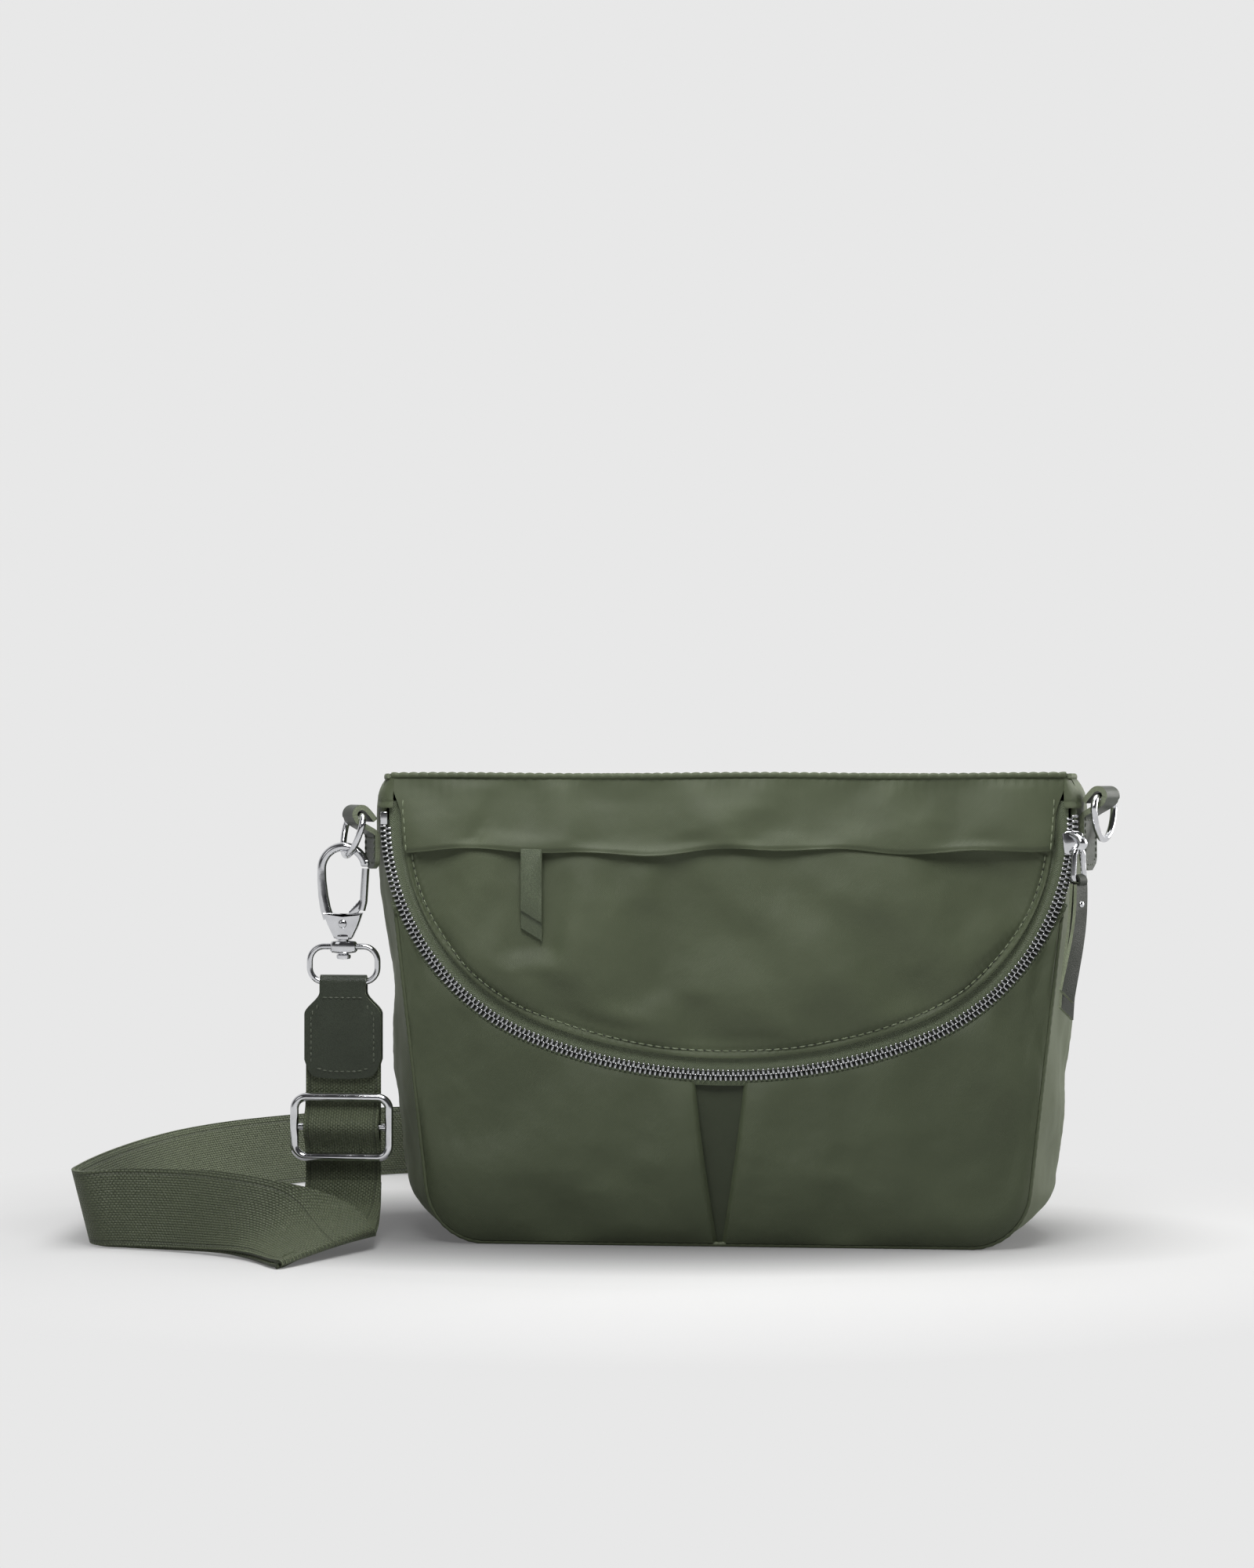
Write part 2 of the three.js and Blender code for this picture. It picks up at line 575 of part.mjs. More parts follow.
// Local frame: +X away from the side panel, Y along the ring's bar
function buildDRing(word, turn, side, barZ, tilt) {
  const group = new THREE.Group();
  group.position.set(side * TAB_X, TAB_Y, 0);
  group.rotation.z = turn;
  bag.add(group);

  const strip = new THREE.Shape();
  strip.moveTo(0.4, 159);
  strip.lineTo(2.6, 159);
  strip.lineTo(2.6, barZ - 10);
  strip.lineTo(LOOP_OUT + 3.4, barZ - 2.6);
  strip.lineTo(LOOP_OUT - 2, barZ + 4.1);
  strip.lineTo(0.4, barZ - 1);
  strip.closePath();
  const body = plate(strip, -TAB_HALF_WIDTH, TAB_HALF_WIDTH);
  const eye = pinY(LOOP_OUT, barZ, 4.6, -TAB_HALF_WIDTH, TAB_HALF_WIDTH, 24);
  const bore = pinY(LOOP_OUT, barZ, 2.2, -TAB_HALF_WIDTH - 1, TAB_HALF_WIDTH + 1, 16);
  leather(`dring_tab_${word}`, cut(join(body, eye), bore), group);

  const points = [];
  const round = 3;
  const steps = 18;
  points.push(new THREE.Vector2(-DRING_HALF + round, 0), new THREE.Vector2(0, 0));
  points.push(new THREE.Vector2(DRING_HALF - round, 0));
  for (let i = 0; i <= steps; i += 1) {
    const angle = Math.PI * i / steps;
    const depth = 3 + (DRING_DEPTH - 3) * Math.sin(angle);
    points.push(new THREE.Vector2(DRING_HALF * Math.cos(angle), -depth));
  }
  const ring = wire(inYZ(points), DRING_WIRE, ALONG_X, true, 10);
  const swing = new THREE.Group();
  swing.position.set(LOOP_OUT, 0, barZ);
  swing.rotation.y = -tilt;
  group.add(swing);
  metal(`dring_${word}`, ring, swing);
}

// ---------------------------------------------------------------- strap hardware

const HOOK_WIRE = 1.9;
const HOOK_HALF = 9.4;
const HOOK_ARC_Z = 48;
const HOOK_PIVOT_Z = 24.8;
const RING_WIRE = 1.25;

// Local frame: origin on the swivel ring's far bar, +Z along the swivel axis to the hook
function buildHook(word, group, ringHalf, ringCorner) {
  const loop = inXZ(roundedLoop(ringHalf, 7.55, ringCorner, 7.55));
  const blockBody = block([-6, -2.6, 12.4], [6, 2.6, 17.5]);
  const ring = join(wire(loop, RING_WIRE, ALONG_Y, true, 10), blockBody);
  metal(`swivel_ring_${word}`, cut(ring, pinZ(2.5, 10, 20)), group);

  const arm = [new THREE.Vector2(-6.2, 25), new THREE.Vector2(-8.2, 33), new THREE.Vector2(-9.2, 41)];
  const steps = 14;
  for (let i = 0; i <= steps; i += 1) {
    const angle = Math.PI - (Math.PI - 0.21) * i / steps;
    arm.push(new THREE.Vector2(HOOK_HALF * Math.cos(angle), HOOK_ARC_Z + HOOK_HALF * Math.sin(angle)));
  }
  const base = new THREE.Shape();
  base.moveTo(-3.8, 18);
  base.lineTo(3.8, 18);
  base.lineTo(8.2, 28.6);
  base.lineTo(-8.2, 28.6);
  base.closePath();
  const hook = join(
    wire(inXZ(arm), HOOK_WIRE, ALONG_Y, false, 10),
    plate(base, -2.7, 2.7),
    pinZ(2.1, 11, 19),
    pinZ(3.1, 9.8, 12));
  const slot = block([-2.9, -1.25, 21.6], [9, 1.25, 34]);
  const hole = pinY(0, HOOK_PIVOT_Z, 1.4, -4, 4);
  metal(`hook_${word}_body`, cut(hook, slot, hole), group);
  metal(`hook_${word}_rivet`, pinY(0, HOOK_PIVOT_Z, 1.1, -3, 3), group);

  const gateRod = wire(
    inXZ([new THREE.Vector2(8.3, 32.4), new THREE.Vector2(9.4, 48.2)]), 1.5, ALONG_Y, false, 10);
  const tongue = new THREE.Shape();
  tongue.moveTo(1.2, 22.9);
  tongue.lineTo(6.6, 29.2);
  tongue.lineTo(9.3, 33.4);
  tongue.lineTo(7.4, 35);
  tongue.lineTo(-1.6, 26.6);
  tongue.closePath();
  const knuckle = pinY(0, HOOK_PIVOT_Z, 2.4, -0.85, 0.85);
  const eye = pinY(0, HOOK_PIVOT_Z, 1.45, -2, 2);
  metal(`hook_${word}_gate`, cut(join(gateRod, plate(tongue, -0.85, 0.85), knuckle), eye), group);
}

function buildStrapEnd() {
  const profile = new THREE.Shape();
  const [inner, outer] = [1.7, 3.2];
  const lowZ = 67;
  profile.moveTo(-outer, lowZ);
  profile.lineTo(-inner, lowZ);
  profile.lineTo(-inner, RING_BAR_Z);
  profile.absarc(0, RING_BAR_Z, inner, Math.PI, 0, true);
  profile.lineTo(inner, lowZ);
  profile.lineTo(outer, lowZ);
  profile.lineTo(outer, RING_BAR_Z);
  profile.absarc(0, RING_BAR_Z, outer, 0, Math.PI, false);
  profile.closePath();
  const hairpin = sidePlate(profile, HANG_X - 20, HANG_X + 20);
  hairpin.translate(0, HANG_Y, 0);
  const face = new THREE.Shape();
  face.moveTo(HANG_X - 16.2, 77);
  face.quadraticCurveTo(HANG_X - 16, 71.6, HANG_X - 11, 70);
  face.quadraticCurveTo(HANG_X, 67, HANG_X + 11, 70);
  face.quadraticCurveTo(HANG_X + 16, 71.6, HANG_X + 16.2, 77);
  face.lineTo(HANG_X + 16.2, 95.5);
  face.quadraticCurveTo(HANG_X + 16, 99, HANG_X + 12.6, 101.5);
  face.quadraticCurveTo(HANG_X + 9.8, 103.6, HANG_X + 9.8, 115);
  face.lineTo(HANG_X - 9.8, 115);
  face.quadraticCurveTo(HANG_X - 9.8, 103.6, HANG_X - 12.6, 101.5);
  face.quadraticCurveTo(HANG_X - 16, 99, HANG_X - 16.2, 95.5);
  face.closePath();
  leather('strap_leather_end', common(hairpin, plate(face, HANG_Y - 10, HANG_Y + 10)));
}

function buildAdjuster() {
  const railY = HANG_Y - 4.6;
  const rail = 1.75;
  const frame = wire(inXZ(roundedLoop(20.2, 12.6, 5, ADJUSTER_Z)), rail, ALONG_Y, true, 10);
  frame.translate(HANG_X, railY, 0);
  const bar = new THREE.CylinderGeometry(1.4, 1.4, 40, 12);
  bar.rotateZ(Math.PI / 2);
  bar.translate(HANG_X, railY + 0.6, ADJUSTER_Z);
  metal('adjuster_frame', join(frame, bar));
  const half = WEB_WIDTH / 2;
  const hump = (u, v) => {
    const drop = 14.4 * (2 * u - 1);
    const lift = Math.abs(drop) < 10.3 ? 2.5 + 2.5 * Math.cos(Math.PI * drop / 10.3) : 0;
    return new THREE.Vector3(HANG_X + half * (2 * v - 1), HANG_Y - 2.5 - lift, ADJUSTER_Z - drop);
  };
  cloth('adjuster_webbing', sheet(hump, 20, 1, WEB_THICK), WEBBING);
}

// ---------------------------------------------------------------- webbing

// Pairs of selvedge points along the loose strap, from the adjuster's end down to the surface,
// through the turned-over fold, round the loop and flat behind the bag.
// First of each pair: the edge that lies low. Second: the edge that stands up.
const STRAP_ROUTE = [
  [[-178.4, -36, 24.6], [-146.4, -36, 24.6]],
  [[-179, -40.5, 13.5], [-146, -41, 15]],
  [[-179.5, -54, 6.4], [-145.6, -47.5, 10.2]],
  [[-179.5, -73, 3.7], [-145.4, -55, 7.8]],
  [[-178, -94.5, 2.6], [-145.4, -60.5, 6.9]],
  [[-175.8, -107.5, 2.3], [-146.6, -63.2, 8.8]],
  [[-179, -105.5, 2.2], [-151.5, -61, 14]],
  [[-184.5, -98.5, 2], [-160.5, -61.5, 20]],
  [[-192, -90, 1.9], [-171.5, -67.5, 25.5]],
  [[-202, -82, 1.6], [-186, -75, 30]],
  [[-214, -75.5, 1], [-204, -73, 32.6]],
  [[-230, -70, 0.5], [-228, -64, 32]],
  [[-248, -66, 0.4], [-252, -62.5, 31.8]],
  [[-259, -63.5, 0.4], [-266, -65.5, 31.2]],
  [[-264.5, -57, 0.4], [-271.5, -60, 31.2]],
  [[-266, -44, 0.4], [-272, -46, 31.6]],
  [[-266.5, -22, 0.4], [-270.5, -23, 32]],
  [[-265.5, 2, 0.4], [-267.5, 2, 32.2]],
  [[-261, 31, 0.4], [-262, 32, 32.3]],
  [[-252, 62, 0.4], [-253, 63.5, 32.2]],
  [[-237, 89, 0.4], [-238, 91, 32.2]],
  [[-216, 112, 0.4], [-217, 114, 32.2]],
  [[-192, 132.5, 0.4], [-192.5, 134.5, 32.2]],
  [[-168, 148, 0.4], [-168, 150, 32.2]],
  [[-143, 150, 0.5], [-141.5, 153, 32.2]],
  [[-122, 139, 1], [-118, 146.5, 31.6]],
  [[-104, 123.5, 1.8], [-95, 141.5, 27]],
  [[-84, 108, 2], [-75, 136.5, 13.5]],
  [[-62, 97.5, 2], [-58, 129, 4.6]],
  [[-40, 93.6, 2], [-39, 125.5, 2.2]],
  [[-24, 93, 2], [-24, 125, 2]],
];

function buildWebbing() {
  const half = WEB_WIDTH / 2;
  cloth('webbing_hanging', block([HANG_X - half, HANG_Y - 0.8, 25.8], [HANG_X + half, HANG_Y + 0.8, 95]), WEBBING);
  const low = new THREE.CatmullRomCurve3(STRAP_ROUTE.map(([p]) => new THREE.Vector3(...p)), false, 'centripetal');
  const high = new THREE.CatmullRomCurve3(STRAP_ROUTE.map(([, p]) => new THREE.Vector3(...p)), false, 'centripetal');
  const ribbon = (u, v) => low.getPoint(u).lerp(high.getPoint(u), v);
  const steps = 3 * (STRAP_ROUTE.length - 1);
  const doubled = 2 * WEB_THICK + GAP;
  cloth('webbing_run', sheet(ribbon, steps, 1, doubled, doubled / 2), WEBBING);
}

const SPARE_BAR_X = -13;
const SPARE_Y = 109;
const SPARE_Z = 3.2;

function buildSpareEnd() {
  const group = new THREE.Group();
  group.position.set(SPARE_BAR_X, SPARE_Y, SPARE_Z);
  group.quaternion.setFromRotationMatrix(new THREE.Matrix4().makeBasis(
    new THREE.Vector3(0, 1, 0), new THREE.Vector3(0, 0, 1), new THREE.Vector3(1, 0, 0)));
  bag.add(group);
  buildHook('spare', group, 19.2, 2.4);

  const half = WEB_WIDTH / 2;
  const turn = new THREE.Shape();
  turn.moveTo(SPARE_BAR_X - 10.6, 0.45);
  turn.lineTo(SPARE_BAR_X, SPARE_Z - 3);
  turn.lineTo(SPARE_BAR_X, SPARE_Z + 3);
  turn.lineTo(SPARE_BAR_X - 10.6, 3.55);
  turn.closePath();
  const body = join(plate(turn, SPARE_Y - half, SPARE_Y + half),
    pinY(SPARE_BAR_X, SPARE_Z, 3, SPARE_Y - half, SPARE_Y + half, 20));
  cloth('webbing_turn', cut(body, pinY(SPARE_BAR_X, SPARE_Z, 1.6, SPARE_Y - 20, SPARE_Y + 20)), WEBBING);
}

// ---------------------------------------------------------------- assembly

const flapGroup = new THREE.Group();
bag.add(flapGroup);

buildFront();
buildBack();
buildGussets();
buildBase();
buildTop();
buildPiping();
buildZip(flapGroup);
buildFlap(flapGroup);
buildMainSlider(flapGroup);
buildPocketSlider(flapGroup);
buildDRing('left', Math.PI + TAB_TURN, -1, 180, 15 * Math.PI / 180);
buildDRing('right', -TAB_TURN, 1, 188, 0);

const hangingHook = new THREE.Group();
hangingHook.position.set(HANG_X, HANG_Y, RING_BAR_Z);
bag.add(hangingHook);
buildHook('left', hangingHook, 14.5, 6.2);
buildStrapEnd();
buildAdjuster();
buildWebbing();
buildSpareEnd();

export default bag;
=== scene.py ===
from math import acos, atan, cos, pi, radians, sin, sqrt

import bmesh
import bpy
import numpy as np
from mathutils import Matrix, Vector, noise


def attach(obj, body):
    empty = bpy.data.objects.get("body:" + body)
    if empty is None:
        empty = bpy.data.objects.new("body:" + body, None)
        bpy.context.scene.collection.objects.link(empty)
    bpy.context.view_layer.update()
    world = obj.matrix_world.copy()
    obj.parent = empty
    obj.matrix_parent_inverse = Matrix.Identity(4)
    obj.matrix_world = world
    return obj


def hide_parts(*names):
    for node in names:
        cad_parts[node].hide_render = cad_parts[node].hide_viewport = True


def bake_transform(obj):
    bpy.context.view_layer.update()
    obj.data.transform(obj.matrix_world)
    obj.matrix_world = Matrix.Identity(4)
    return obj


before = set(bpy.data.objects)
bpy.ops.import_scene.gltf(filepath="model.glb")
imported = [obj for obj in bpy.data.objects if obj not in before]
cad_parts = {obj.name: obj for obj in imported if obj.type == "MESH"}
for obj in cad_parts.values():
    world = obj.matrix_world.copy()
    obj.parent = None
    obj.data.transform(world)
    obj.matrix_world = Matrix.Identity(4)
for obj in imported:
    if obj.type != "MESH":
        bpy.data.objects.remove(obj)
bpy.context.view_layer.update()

MM = 0.001

# ---------------- driving sizes, in mm
HEIGHT = 198.0
BASE_HALF = 124.1
SLOPE = 0.113
SLOPE_ANGLE = atan(SLOPE)
CORNER_R = 26.0
CORNER_X = BASE_HALF + SLOPE * CORNER_R - CORNER_R / cos(SLOPE_ANGLE)
FRONT_Y = -44.0
BACK_Y = 42.2
BACK_LEAN = 7.0
SHELL_TOP = 196.3
ARM_TOP = 140.0
LIP_Z = 165.0
BULGE = 13.0
FLOOR_GAP = 0.05

TRACK_X, TRACK_Z, TRACK_R, TRACK_LOW = 45.0, 178.0, 98.0, 71.6
TRACK_DROP = TRACK_Z - TRACK_R - TRACK_LOW
TRACK_TURN = pi / 2 - 2 * atan(TRACK_DROP / TRACK_X)
TRACK_EXTRA = TRACK_X / cos(TRACK_TURN)
LOW_R = TRACK_R + TRACK_EXTRA
LOW_Z = TRACK_Z + TRACK_EXTRA * sin(TRACK_TURN)
ARC_SIDE = TRACK_R * TRACK_TURN
ARC_LOW = LOW_R * (pi - 2 * TRACK_TURN)
TRACK_LENGTH = 2 * ARC_SIDE + ARC_LOW

PLEAT_X, PLEAT_HALF = -2.6, 10.0
TOP_HALF, TOP_BOW = 142.0, 5.4
TUCK_PITCH, STITCH_PITCH = 4.1, 3.7
POCKET_PULL_X = -81.0
HANG_X, HANG_Y, BAR_Z, ADJUST_Z = -162.4, -36.0, 109.0, 48.0
WEB_HALF = 16.0
FORWARD = (0.0, -1.0, 0.0)

# ---------------- materials


def linear(r, g, b):
    """A display colour, 0 to 255, as linear light."""
    shown = (c / 255 for c in (r, g, b))
    return [c / 12.92 if c <= 0.04045 else ((c + 0.055) / 1.055) ** 2.4 for c in shown] + [1.0]


def tint(color, factor):
    return [min(c * factor, 1.0) for c in color[:3]] + [1.0]


class Signal:
    """A value in a node tree; its arithmetic adds Math nodes."""

    def __init__(self, graph, socket):
        self.graph = graph
        self.socket = socket

    def math(self, operation, other=0.0):
        return self.graph.node("Math", {"operation": operation}, i0=self, i1=other)

    def __add__(self, other):
        return self.math("ADD", other)

    def __sub__(self, other):
        return self.math("SUBTRACT", other)

    def __mul__(self, other):
        return self.math("MULTIPLY", other)

    def sine(self):
        return self.math("SINE")

    def size(self):
        return self.math("ABSOLUTE")


class Graph:
    """A node tree, with short ways to add nodes to it."""

    def __init__(self, tree):
        self.tree = tree

    def join(self, value, socket):
        """Links a signal to a socket, or sets the socket to a plain value."""
        if isinstance(value, Signal):
            self.tree.links.new(value.socket, socket)
        else:
            socket.default_value = value

    def node(self, kind, settings=None, output=0, **inputs):
        """A new node's output. Inputs are named, or are i and the socket's number."""
        made = self.tree.nodes.new("ShaderNode" + kind)
        for key, value in (settings or {}).items():
            setattr(made, key, value)
        for key, value in inputs.items():
            self.join(value, made.inputs[int(key[1:]) if key[1:].isdigit() else key.replace("_", " ")])
        return Signal(self, made.outputs[output])

    def xyz(self, vector):
        first = self.node("SeparateXYZ", i0=vector)
        return [Signal(self, output) for output in first.socket.node.outputs]

    def coords(self, kind, scale=(1, 1, 1)):
        return self.node("Mapping", Vector=self.node("TexCoord", None, kind), Scale=scale)

    def length(self, vector):
        return self.node("VectorMath", {"operation": "LENGTH"}, "Value", i0=vector)

    def noise(self, vector, scale, detail=3.0, rough=0.55):
        return self.node("TexNoise", Vector=vector, Scale=scale, Detail=detail, Roughness=rough)

    def ramp(self, value, low, high, low_to=0.0, high_to=1.0):
        return self.node("MapRange", Value=value, From_Min=low, From_Max=high, To_Min=low_to, To_Max=high_to)

    def mix(self, factor, a, b):
        return self.node("Mix", {"data_type": "RGBA"}, 2, i0=factor, i6=a, i7=b)

    def bump(self, height, distance, strength=1.0, **under):
        return self.node("Bump", Height=height, Distance=distance, Strength=strength, **under)


class Surface(Graph):
    """A material with one Principled shader."""

    def __init__(self, name, color, rough, **sockets):
        self.color = color
        self.material = bpy.data.materials.new(name)
        self.material.use_nodes = True
        self.material.diffuse_color = color
        super().__init__(self.material.node_tree)
        self.shader = self.tree.nodes["Principled BSDF"]
        self.set(Base_Color=color, Roughness=rough, Sheen_Roughness=0.4, **sockets)

    def dyed(self, factor, low, high):
        """Between two strengths of the surface's own colour."""
        return self.mix(factor, tint(self.color, low), tint(self.color, high))

    def set(self, **sockets):
        """Sets or links the shader's sockets."""
        for key, value in sockets.items():
            self.join(value, self.shader.inputs[key.replace("_", " ")])
        return self.material


def nylon(name, rgb, sheen=0.35, rough=0.52):
    """Fine matt-silk twill: diagonal ribs, small crinkles, slightly uneven dye."""
    base = linear(*rgb)
    s = Surface(name, base, rough, Sheen_Weight=sheen, Sheen_Tint=tint(base, 4.0), Specular_IOR_Level=0.28)
    place = s.coords("Object")
    x, y, z = s.xyz(place)
    across = x + y
    rib = ((across + z) * (2 * pi / 0.00062)).sine()
    cross = ((across - z) * (2 * pi / 0.00088)).sine()
    weave = rib * 0.6 + cross * 0.4
    crinkle = s.noise(place, 95.0, 5.0, 0.6)
    blotch = s.noise(place, 28.0)
    shade = s.ramp(blotch, 0.3, 0.7, -0.35, 0.35) + weave * 0.3
    color = s.dyed(s.ramp(shade, -0.8, 0.8), 0.86, 1.14)
    normal = s.bump(weave, 0.00005, 0.5, Normal=s.bump(crinkle, 0.0006, 0.3))
    return s.set(Base_Color=color, Normal=normal,
                 Roughness=s.ramp(blotch, 0.3, 0.7, rough - 0.05, rough + 0.06))


def webbing(name, rgb):
    """Ribbed plain weave: rows across the band, columns along it, darker between the yarns."""
    base = linear(*rgb)
    s = Surface(name, base, 0.62, Sheen_Weight=0.3, Sheen_Tint=tint(base, 3.5))
    u, v, _ = s.xyz(s.coords("UV"))
    column = v * (1 / 1.05)
    row = u * (1 / 1.5) + column.math("FLOOR") * 0.5
    yarn = ((column * pi).sine().size() * (row * pi).sine().size()).math("POWER", 0.5)
    fuzz = s.noise(s.coords("Object"), 1500.0, 2.0)
    blotch = s.noise(s.coords("Object"), 60.0)
    shade = yarn + s.ramp(fuzz, 0.3, 0.7, -0.18, 0.18)
    color = s.dyed(s.ramp(shade, 0.0, 1.0), 0.4, 1.34)
    color = s.mix(s.ramp(blotch, 0.35, 0.75, 0.0, 0.35), color, tint(base, 0.8))
    margin = (v - WEB_HALF).size()
    groove = s.ramp((margin - (WEB_HALF - 1.9)).size(), 0.5, 0.2)
    color = s.mix(groove * 0.6, color, tint(base, 0.4))
    return s.set(Base_Color=color, Normal=s.bump(shade - groove, 0.0005, 0.9))


def zip_tape(name, rgb):
    """Herringbone tape: chevrons along the zip."""
    s = Surface(name, linear(*rgb), 0.6, Sheen_Weight=0.25)
    u, v, _ = s.xyz(s.coords("UV"))
    rib = ((u + v.math("PINGPONG", 1.4)) * (2 * pi / 0.95)).sine()
    fuzz = s.noise(s.coords("Object"), 1800.0, 2.0)
    shade = rib * 0.5 + s.ramp(fuzz, 0.3, 0.7, -0.3, 0.3)
    color = s.dyed(s.ramp(shade, -0.8, 0.8), 0.62, 1.3)
    return s.set(Base_Color=color, Normal=s.bump(shade, 0.00022, 0.8))


def leather(name, rgb, rough=0.42):
    """Smooth finished leather: fine pebble grain, pores, worn sheen."""
    base = linear(*rgb)
    s = Surface(name, base, rough, Coat_Weight=0.03, Specular_IOR_Level=0.3)
    place = s.coords("Object")
    cells = s.node("TexVoronoi", {"feature": "DISTANCE_TO_EDGE"}, Vector=place, Scale=1300.0)
    pores = s.noise(place, 900.0, 4.0)
    worn = s.noise(place, 70.0)
    grain = s.ramp(cells, 0.0, 0.2) + pores * 0.6
    color = s.dyed(s.ramp(worn, 0.35, 0.7), 0.88, 1.2)
    color = s.mix(s.ramp(grain, 0.3, 1.3), tint(base, 0.7), color)
    return s.set(Base_Color=color, Normal=s.bump(grain, 0.00009, 0.6),
                 Roughness=s.ramp(worn, 0.3, 0.7, rough - 0.06, rough + 0.12))


def metal(name, rgb, rough):
    """Polished nickel plate with faint smudges and fine scratches."""
    s = Surface(name, linear(*rgb), rough, Metallic=1.0)
    smudge = s.noise(s.coords("Object"), 160.0)
    scratch = s.noise(s.coords("Object", (1, 9, 3)), 900.0, 2.0)
    return s.set(Base_Color=s.dyed(s.ramp(smudge, 0.35, 0.7), 0.9, 1.05),
                 Roughness=s.ramp(smudge, 0.3, 0.7, rough - 0.04, rough + 0.09),
                 Normal=s.bump(scratch, 0.00002, 0.25))


def thread(name, rgb):
    """Twisted sewing thread."""
    s = Surface(name, linear(*rgb), 0.5, Sheen_Weight=0.2)
    twist = s.node("TexWave", {"bands_direction": "DIAGONAL"}, 1, Vector=s.coords("Object"), Scale=900.0)
    return s.set(Base_Color=s.dyed(twist, 0.7, 1.2), Normal=s.bump(twist, 0.00006, 0.6))


NYLON = nylon("nylon_olive", (70, 77, 57), 0.14, 0.58)
# Partly the tapes' real cord edges, partly painted shade: a near-black green so the gap between the two rows
# of teeth reads dark
CORD_PAINTED_SHADE = nylon("chain_cord_painted_shade", (30, 34, 26))
# Painted shade: a darker copy of the nylon for the cloth inside the pleat, standing in for the shade in the
# pleat's recess
NYLON_PLEAT_SHADE = nylon("nylon_pleat_painted_shade", (52, 58, 43), 0.08)
# Painted shade: a darker copy of the olive nylon for the front panel halves; the cloth is the same as NYLON,
# and the darker colour stands in for the front being less lit
NYLON_FRONT_SHADED = nylon("nylon_front_painted_shade", (65, 72, 53), 0.14, 0.58)
LINING = nylon("lining_cloth", (118, 114, 96), 0.15, 0.65)
TAPE = zip_tape("herringbone_tape", (78, 87, 64))
WEB = webbing("webbing_weave", (69, 76, 55))
LEATHER = leather("leather_olive", (47, 53, 42))
# Painted shade: a darker copy of the olive leather for the main pulls, so their faces stay dark under the
# side lamp
LEATHER_PULL_SHADED = leather("leather_pull_painted_shade", (34, 39, 30), 0.6)
LEATHER_LIGHT = leather("leather_olive_light", (78, 86, 67))
LEATHER_EDGE = leather("leather_painted_edge", (112, 119, 98), 0.5)
CHROME = metal("nickel_plate", (212, 213, 216), 0.1)
TEETH = metal("nickel_teeth", (178, 179, 181), 0.14)
THREAD = thread("sewing_thread", (104, 113, 88))
# Painted shade: short near-black marks between the topstitches stand in for the shade inside the needle holes
NEEDLE_HOLE_SHADE = thread("needle_hole_painted_shade", (34, 38, 28))
THREAD_DARK = thread("leather_thread", (72, 78, 64))
BOARD = leather("fibre_board", (84, 86, 88), 0.7)

# ---------------- mesh helpers


def build(name, mesh, material, nodes="", body="root", uv=None, edge=None, edge_faces=()):
    """A named piece from points in mm and faces. It rides on a body and stands for the CAD nodes named."""
    points = np.array(mesh[0], float)
    points[:, 2] = np.maximum(points[:, 2], FLOOR_GAP)
    data = bpy.data.meshes.new(name)
    data.from_pydata((points * MM).tolist(), [], [list(map(int, f)) for f in mesh[1]])
    data.materials.append(material)
    if edge is not None:
        data.materials.append(edge)
        for i in edge_faces:
            data.polygons[i].material_index = 1
    if uv is not None:
        layer = data.uv_layers.new(name="UVMap")
        for loop in data.loops:
            layer.data[loop.index].uv = uv[loop.vertex_index]
    data.validate()
    made = bmesh.new()
    made.from_mesh(data)
    bmesh.ops.recalc_face_normals(made, faces=made.faces)
    made.to_mesh(data)
    made.free()
    data.polygons.foreach_set("use_smooth", [True] * len(data.polygons))
    data.set_sharp_from_angle(angle=radians(50))
    obj = bpy.data.objects.new(name, data)
    bpy.context.scene.collection.objects.link(obj)
    if body:
        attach(obj, body)
    if nodes:
        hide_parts(*nodes.split())
    return obj


def shares(count):
    return np.linspace(0, 1, count)


def grid(rows, columns):
    """Row and column values over a grid, each from its first, last and count."""
    return np.meshgrid(np.linspace(*rows), np.linspace(*columns), indexing="ij")


def field(x, y, z):
    """A line or grid of points from its coordinates, any of them a single number."""
    return np.stack(np.broadcast_arrays(x, y, z), -1)


def ruled(a, b, v):
    """Grids of each coordinate, on straight lines between two rows of points."""
    ends = zip(np.broadcast_arrays(*a), np.broadcast_arrays(*b))
    return [p[:, None] * (1 - v) + q[:, None] * v for p, q in ends]


def unit(v):
    return v / np.maximum(np.linalg.norm(v, axis=-1, keepdims=True), 1e-9)


def normals_of(p):
    """Unit normals of a grid of points."""
    return unit(np.cross(np.gradient(p, axis=0), np.gradient(p, axis=1)))


def shell(p, thickness, flip):
    """A closed sheet: p is its outer face, the inner face lies thickness towards minus the normal."""
    rows, columns = p.shape[:2]
    inner = p - normals_of(p) * thickness * (-1 if flip else 1)
    points = np.vstack([p.reshape(-1, 3), inner.reshape(-1, 3)])
    index = np.arange(rows * columns).reshape(rows, columns)
    low = index + rows * columns
    faces = []
    for i in range(rows - 1):
        for j in range(columns - 1):
            faces.append((index[i, j], index[i + 1, j], index[i + 1, j + 1], index[i, j + 1]))
            faces.append((low[i, j], low[i, j + 1], low[i + 1, j + 1], low[i + 1, j]))
    rim = list(index[0, :]) + list(index[1:, -1]) + list(index[-1, -2::-1]) + list(index[-2:0:-1, 0])
    first_rim = len(faces)
    for a, b in zip(rim, rim[1:] + rim[:1]):
        faces.append((a, b, b + rows * columns, a + rows * columns))
    return points, faces, range(first_rim, len(faces))


